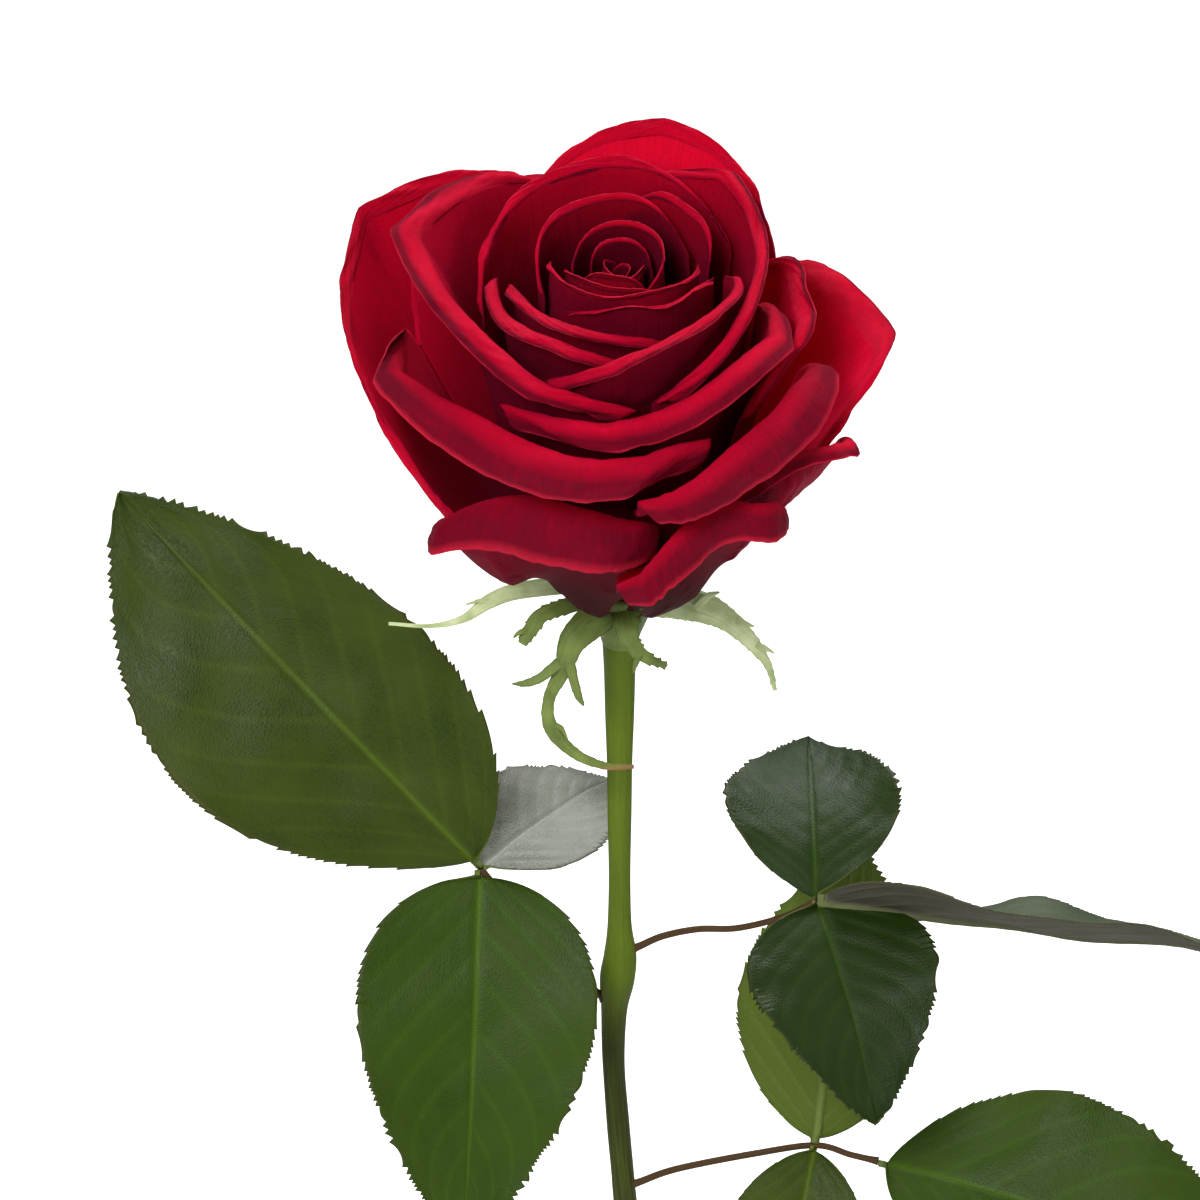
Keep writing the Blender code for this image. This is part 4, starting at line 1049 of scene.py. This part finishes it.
def part_of(tree, value, share):
    """A value times a share, or times another value."""
    return node(tree, "Math", {0: value, 1: share}, operation="MULTIPLY").outputs[0]


def ranged(tree, value, low, high, to_low=0.0, to_high=1.0):
    inputs = {"Value": value, "From Min": low, "From Max": high}
    inputs.update({"To Min": to_low, "To Max": to_high})
    return node(tree, "MapRange", inputs).outputs["Result"]


def place_on(tree):
    return node(tree, "TexCoord").outputs["Object"]


def height_of(tree):
    """How high a place is above the floor, in metres."""
    return node(tree, "SeparateXYZ", {0: place_on(tree)}).outputs["Z"]


def noise(tree, place, scale, detail):
    inputs = {"Vector": place, "Scale": scale, "Detail": detail}
    return node(tree, "TexNoise", inputs).outputs["Fac"]


def attribute(tree, name):
    found = node(tree, "Attribute", attribute_name=name)
    return found.outputs["Vector" if name == "grain" else "Fac"]


def new_group(name, inputs, outputs):
    """(tree, its inputs, its outputs) of a shader node group."""
    tree = bpy.data.node_groups.new(name, "ShaderNodeTree")
    for title, kind, value in inputs:
        socket = tree.interface.new_socket(title, in_out="INPUT", socket_type=kind)
        if value is not None:
            socket.default_value = value
    for title in outputs:
        tree.interface.new_socket(title, in_out="OUTPUT", socket_type="NodeSocketFloat")
    entry = tree.nodes.new("NodeGroupInput").outputs
    leave = tree.nodes.new("NodeGroupOutput").inputs
    return tree, entry, leave


def tissue_group():
    """Living tissue: small cells, long streaks and soft blotches, each from 0 to 1."""
    number = "NodeSocketFloat"
    inputs = (
        ("Grain", "NodeSocketVector", None),
        ("Cell Size", number, 0.5),
        ("Streak Width", number, 0.8),
        ("Streak Length", number, 8.0),
        ("Blotch Size", number, 9.0),
    )
    tree, entry, leave = new_group("plant_tissue", inputs, ("Cells", "Streaks", "Blotches"))

    def scaled(across, along):
        size = node(tree, "CombineXYZ", {0: across, 1: along, 2: across})
        inputs = {0: entry["Grain"], 1: size.outputs[0]}
        return node(tree, "VectorMath", inputs, operation="DIVIDE").outputs[0]

    cell = scaled(entry["Cell Size"], entry["Cell Size"])
    cells = node(tree, "TexVoronoi", {"Vector": cell, "Scale": 1.0}, feature="DISTANCE_TO_EDGE")
    tree.links.new(ranged(tree, cells.outputs["Distance"], 0.0, 0.35), leave["Cells"])
    streak = scaled(entry["Streak Width"], entry["Streak Length"])
    tree.links.new(ranged(tree, noise(tree, streak, 1.0, 3.0), 0.3, 0.7), leave["Streaks"])
    blotch = scaled(entry["Blotch Size"], entry["Blotch Size"])
    tree.links.new(ranged(tree, noise(tree, blotch, 1.0, 4.0), 0.3, 0.7), leave["Blotches"])
    return tree


def started(name, roughness, specular=0.5):
    """(material, its tree, its shader)"""
    made = bpy.data.materials.new(name)
    made.use_nodes = True
    tree = made.node_tree
    shader = tree.nodes["Principled BSDF"]
    shader.inputs["Roughness"].default_value = roughness
    shader.inputs["Specular IOR Level"].default_value = specular
    return made, tree, shader


def tissue(tree, cell, streak_width, streak_length, blotch):
    made = node(tree, "Group")
    made.node_tree = plant_tissue
    tree.links.new(attribute(tree, "grain"), made.inputs["Grain"])
    for title, value in (
        ("Cell Size", cell), ("Streak Width", streak_width),
        ("Streak Length", streak_length), ("Blotch Size", blotch),
    ):
        made.inputs[title].default_value = value
    return made.outputs


def skinned(tree, shader, surface, rough):
    tree.links.new(surface, shader.inputs["Base Color"])
    tree.links.new(rough, shader.inputs["Roughness"])


def bumped(tree, shader, height, depth, strength=1.0):
    """Relief of a height from 0 to 1, so many millimetres deep."""
    inputs = {"Height": height, "Distance": depth * MM, "Strength": strength}
    tree.links.new(node(tree, "Bump", inputs).outputs[0], shader.inputs["Normal"])


def petal_material():
    """Crimson velvet with painted shade deep down and on a rolled rim, a painted highlight along
    its edge, and a dark foot.
    """
    made, tree, shader = started("petal_velvet", 0.5, 0.04)
    grown = tissue(tree, cell=0.22, streak_width=0.55, streak_length=9.0, blotch=11.0)
    light, rim, under = (attribute(tree, name) for name in ("vein_and_painted_shade", "rim", "under"))
    along = node(tree, "SeparateXYZ", {0: attribute(tree, "grain")}).outputs["Y"]
    mottle = part_of(tree, grown["Blotches"], grown["Streaks"])
    inside = layered(
        tree, PETAL_DEEP,
        (grown["Blotches"], PETAL_BRIGHT),
        (part_of(tree, grown["Streaks"], 0.25), PETAL_SHADE),
        # painted shade deep in the flower, then painted shade on a rolled rim
        (ranged(tree, light, *DARKENS), PETAL_DEPTH_SHADE),
        (ranged(tree, rim, *ROLL_SHADE_BAND), mixed(tree, mottle, PETAL_ROLL_SHADE, PETAL_ROLL_SHADE_PALE)),
    )
    outside = layered(
        tree, PETAL_BACK_DEEP,
        (grown["Blotches"], PETAL_BACK),
        (part_of(tree, grown["Streaks"], 0.40), PETAL_VEIN),
        # painted shade deep in the flower, on the outer face too
        (ranged(tree, light, *DARKENS, 0.0, 0.6), PETAL_DEPTH_SHADE),
        (ranged(tree, along, *FOOT_FADE), PETAL_FOOT),
    )
    # a painted highlight along the petal's edge
    surface = layered(
        tree, inside, (under, outside), (ranged(tree, rim, *RIM_HIGHLIGHT_LINE), PETAL_RIM_HIGHLIGHT)
    )
    rough = ranged(tree, grown["Cells"], 0.0, 1.0, 0.62, 0.48)
    skinned(tree, shader, surface, rough)
    for title, value in (
        ("Subsurface Weight", 0.5), ("Subsurface Radius", (1.0, 0.08, 0.12)),
        ("Subsurface Scale", 1.2 * MM), ("Sheen Weight", 0.04), ("Sheen Roughness", 0.35),
        ("Sheen Tint", (1.0, 0.08, 0.25, 1.0)),
    ):
        shader.inputs[title].default_value = value
    relief = part_of(tree, grown["Streaks"], 0.30)
    relief = sum_of(tree, relief, part_of(tree, grown["Cells"], 0.22))
    bumped(tree, shader, relief, 0.24)
    return made


def leaf_material(name, deep, bright, back, roughness):
    """A waxy upper face over dark green, paler veins, and a dull paler underside."""
    made, tree, shader = started(name, roughness, 0.16)
    grown = tissue(tree, cell=0.55, streak_width=1.6, streak_length=3.2, blotch=13.0)
    vein_and_painted_shade, rim, under = (attribute(tree, title) for title in ("vein_and_painted_shade", "rim", "under"))
    top = mixed(tree, grown["Blotches"], deep, bright)
    top = mixed(tree, grown["Cells"], mixed(tree, 0.62, top, bright), top)
    paler = tuple(min(VEIN_PALER * value, value + 0.12) for value in bright)
    top = mixed(tree, part_of(tree, vein_and_painted_shade, 0.55), top, paler)
    below = mixed(tree, part_of(tree, vein_and_painted_shade, 0.7), back, LEAF_BACK_VEIN)
    below = mixed(tree, part_of(tree, grown["Cells"], 0.2), below, bright)
    surface = mixed(tree, under, top, below)
    surface = mixed(tree, part_of(tree, rim, 0.35), surface, LEAF_EDGE)
    rough = ranged(tree, grown["Blotches"], 0.0, 1.0, roughness, roughness + 0.16)
    rough = sum_of(tree, rough, part_of(tree, under, 0.25))
    skinned(tree, shader, surface, rough)
    relief = sum_of(tree, grown["Cells"], part_of(tree, grown["Streaks"], 0.5))
    bumped(tree, shader, relief, 0.03)
    return made


def stem_material(name, low, high, bottom, top, streak):
    """A ribbed skin whose colour changes between two heights."""
    made, tree, shader = started(name, SKIN_ROUGHNESS, 0.10)
    grown = tissue(tree, cell=0.35, streak_width=0.5, streak_length=14.0, blotch=10.0)
    share = ranged(tree, height_of(tree), low * MM, high * MM)
    skin = layered(
        tree, bottom,
        (share, top),
        (part_of(tree, grown["Streaks"], 0.35), streak),
        (part_of(tree, grown["Blotches"], 0.2), bottom),
    )
    rough = ranged(tree, grown["Streaks"], 0.0, 1.0, SKIN_ROUGHNESS, SKIN_ROUGHNESS + 0.15)
    skinned(tree, shader, skin, rough)
    relief = sum_of(tree, grown["Streaks"], part_of(tree, grown["Cells"], 0.3))
    bumped(tree, shader, relief, 0.09)
    return made


def sepal_material(name, deep, pale, streak):
    """Green with a darker toothed edge and a reddish tip."""
    made, tree, shader = started(name, 0.5, 0.3)
    grown = tissue(tree, cell=0.3, streak_width=0.4, streak_length=5.0, blotch=5.0)
    rim = attribute(tree, "rim")
    high, low = ((MOUTH + height) * MM for height in SEPAL_TIP_BELOW)
    tip = ranged(tree, height_of(tree), high, low)
    skin = layered(
        tree, deep,
        (grown["Blotches"], pale),
        (part_of(tree, grown["Streaks"], 0.3), streak),
        (part_of(tree, rim, 0.35), deep),
        (part_of(tree, tip, 0.8), SEPAL_TIP),
    )
    rough = ranged(tree, grown["Cells"], 0.0, 1.0, 0.6, 0.45)
    skinned(tree, shader, skin, rough)
    bumped(tree, shader, grown["Streaks"], 0.10)
    return made


def glaze_material():
    """A plain warm white satin glaze, with fine iron specks and a faint unevenness."""
    made, tree, shader = started("satin_glaze", 0.25, 0.5)
    place = place_on(tree)
    specks = node(tree, "TexVoronoi", {"Vector": place, "Scale": SPECKS_PER_METRE})
    dot = ranged(tree, specks.outputs["Distance"], *SPECK_EDGE)
    some = ranged(tree, noise(tree, place, 60.0, 2.0), *SPECK_PLACES)
    dot = part_of(tree, dot, some)
    cloud = noise(tree, place, 22.0, 1.0)
    body = layered(
        tree, GLAZE_WARM, (cloud, GLAZE_PALE), (part_of(tree, dot, 0.65), GLAZE_SPECK)
    )
    rough = ranged(tree, cloud, 0.1, 0.9, 0.20, 0.34)
    skinned(tree, shader, body, rough)
    bumped(tree, shader, cloud, 0.10, 0.2)
    return made


def make_floor():
    mesh = bpy.data.meshes.new("floor")
    wide = FLOOR_HALF_WIDTH
    corners = [(-wide, -wide, 0), (wide, -wide, 0), (wide, wide, 0), (-wide, wide, 0)]
    mesh.from_pydata(corners, [], [(0, 1, 2, 3)])
    made, tree, shader = started("floor_paper", 0.9, 0.1)
    paper = mixed(tree, noise(tree, place_on(tree), 40.0, 2.0), *PAPER)
    tree.links.new(paper, shader.inputs["Base Color"])
    tree.links.new(paper, shader.inputs["Emission Color"])
    seen = node(tree, "LightPath").outputs["Is Camera Ray"]
    glow = part_of(tree, seen, FLOOR_GLOW)
    tree.links.new(glow, shader.inputs["Emission Strength"])
    mesh.materials.append(made)
    added("floor", mesh)


def make_softbox(name, place, aim, power, size):
    lamp = bpy.data.lights.new(name, "AREA")
    lamp.energy = power
    lamp.size = size
    item = added(name, lamp)
    item.location = place
    item.rotation_mode = "QUATERNION"
    item.rotation_quaternion = (Vector(place) - Vector(aim)).to_track_quat("Z", "Y")


def make_lights():
    bloom = flower_frame() @ Vector((0, 0, BLOOM_MIDDLE))
    for name, offset, power, size in SOFTBOXES:
        aim = bloom * MM
        make_softbox(name, aim + Vector(offset), aim, power, size)
    world = bpy.data.worlds.new("studio")
    bpy.context.scene.world = world
    world.use_nodes = True
    background = world.node_tree.nodes["Background"]
    background.inputs["Color"].default_value = (1.0, 1.0, 1.0, 1.0)
    background.inputs["Strength"].default_value = WORLD_STRENGTH
    bpy.context.scene.view_settings.view_transform = "Standard"


def make_camera():
    """It looks towards +Y and down at the flower, with the base of the bloom near its middle."""
    down = math.radians(CAMERA_ELEVATION)
    back = Vector((0.0, -math.cos(down), math.sin(down)))
    up = Vector((0.0, math.sin(down), math.cos(down)))
    aim = Vector(above_mouth(FLOWER_BASE)) + Vector((CAMERA_ASIDE, 0, 0)) + up * CAMERA_RAISE
    camera = bpy.data.cameras.new("camera")
    camera.lens = camera.sensor_width * CAMERA_DISTANCE / VIEW_WIDTH
    camera.clip_start = 0.01
    item = added("camera", camera)
    item.location = (aim + back * CAMERA_DISTANCE) * MM
    item.rotation_mode = "QUATERNION"
    item.rotation_quaternion = back.to_track_quat("Z", "Y")
    bpy.context.scene.camera = item


plant_tissue = tissue_group()
red_petal = petal_material()
leaf_tones = {name: leaf_material(name, *tone) for name, tone in LEAF_TONES.items()}
green_stem = stem_material(
    "stem_green", *(MOUTH + STEM_JOINT + height for height in STEM_TURNS), *STEM_TONES
)
red_stalk = stem_material("stalk_red", 0, 1, *STALK_TONES)
green_sepal = sepal_material("sepal_green", *SEPAL_GREEN)
pale_lit_sepal = sepal_material("sepal_pale_lit", *SEPAL_PALE_LIT)
vase_glaze = glaze_material()

make_vase()
make_stem()
make_hip()
make_petals()
make_sepals()
make_leaves()
make_floor()
make_lights()
make_camera()
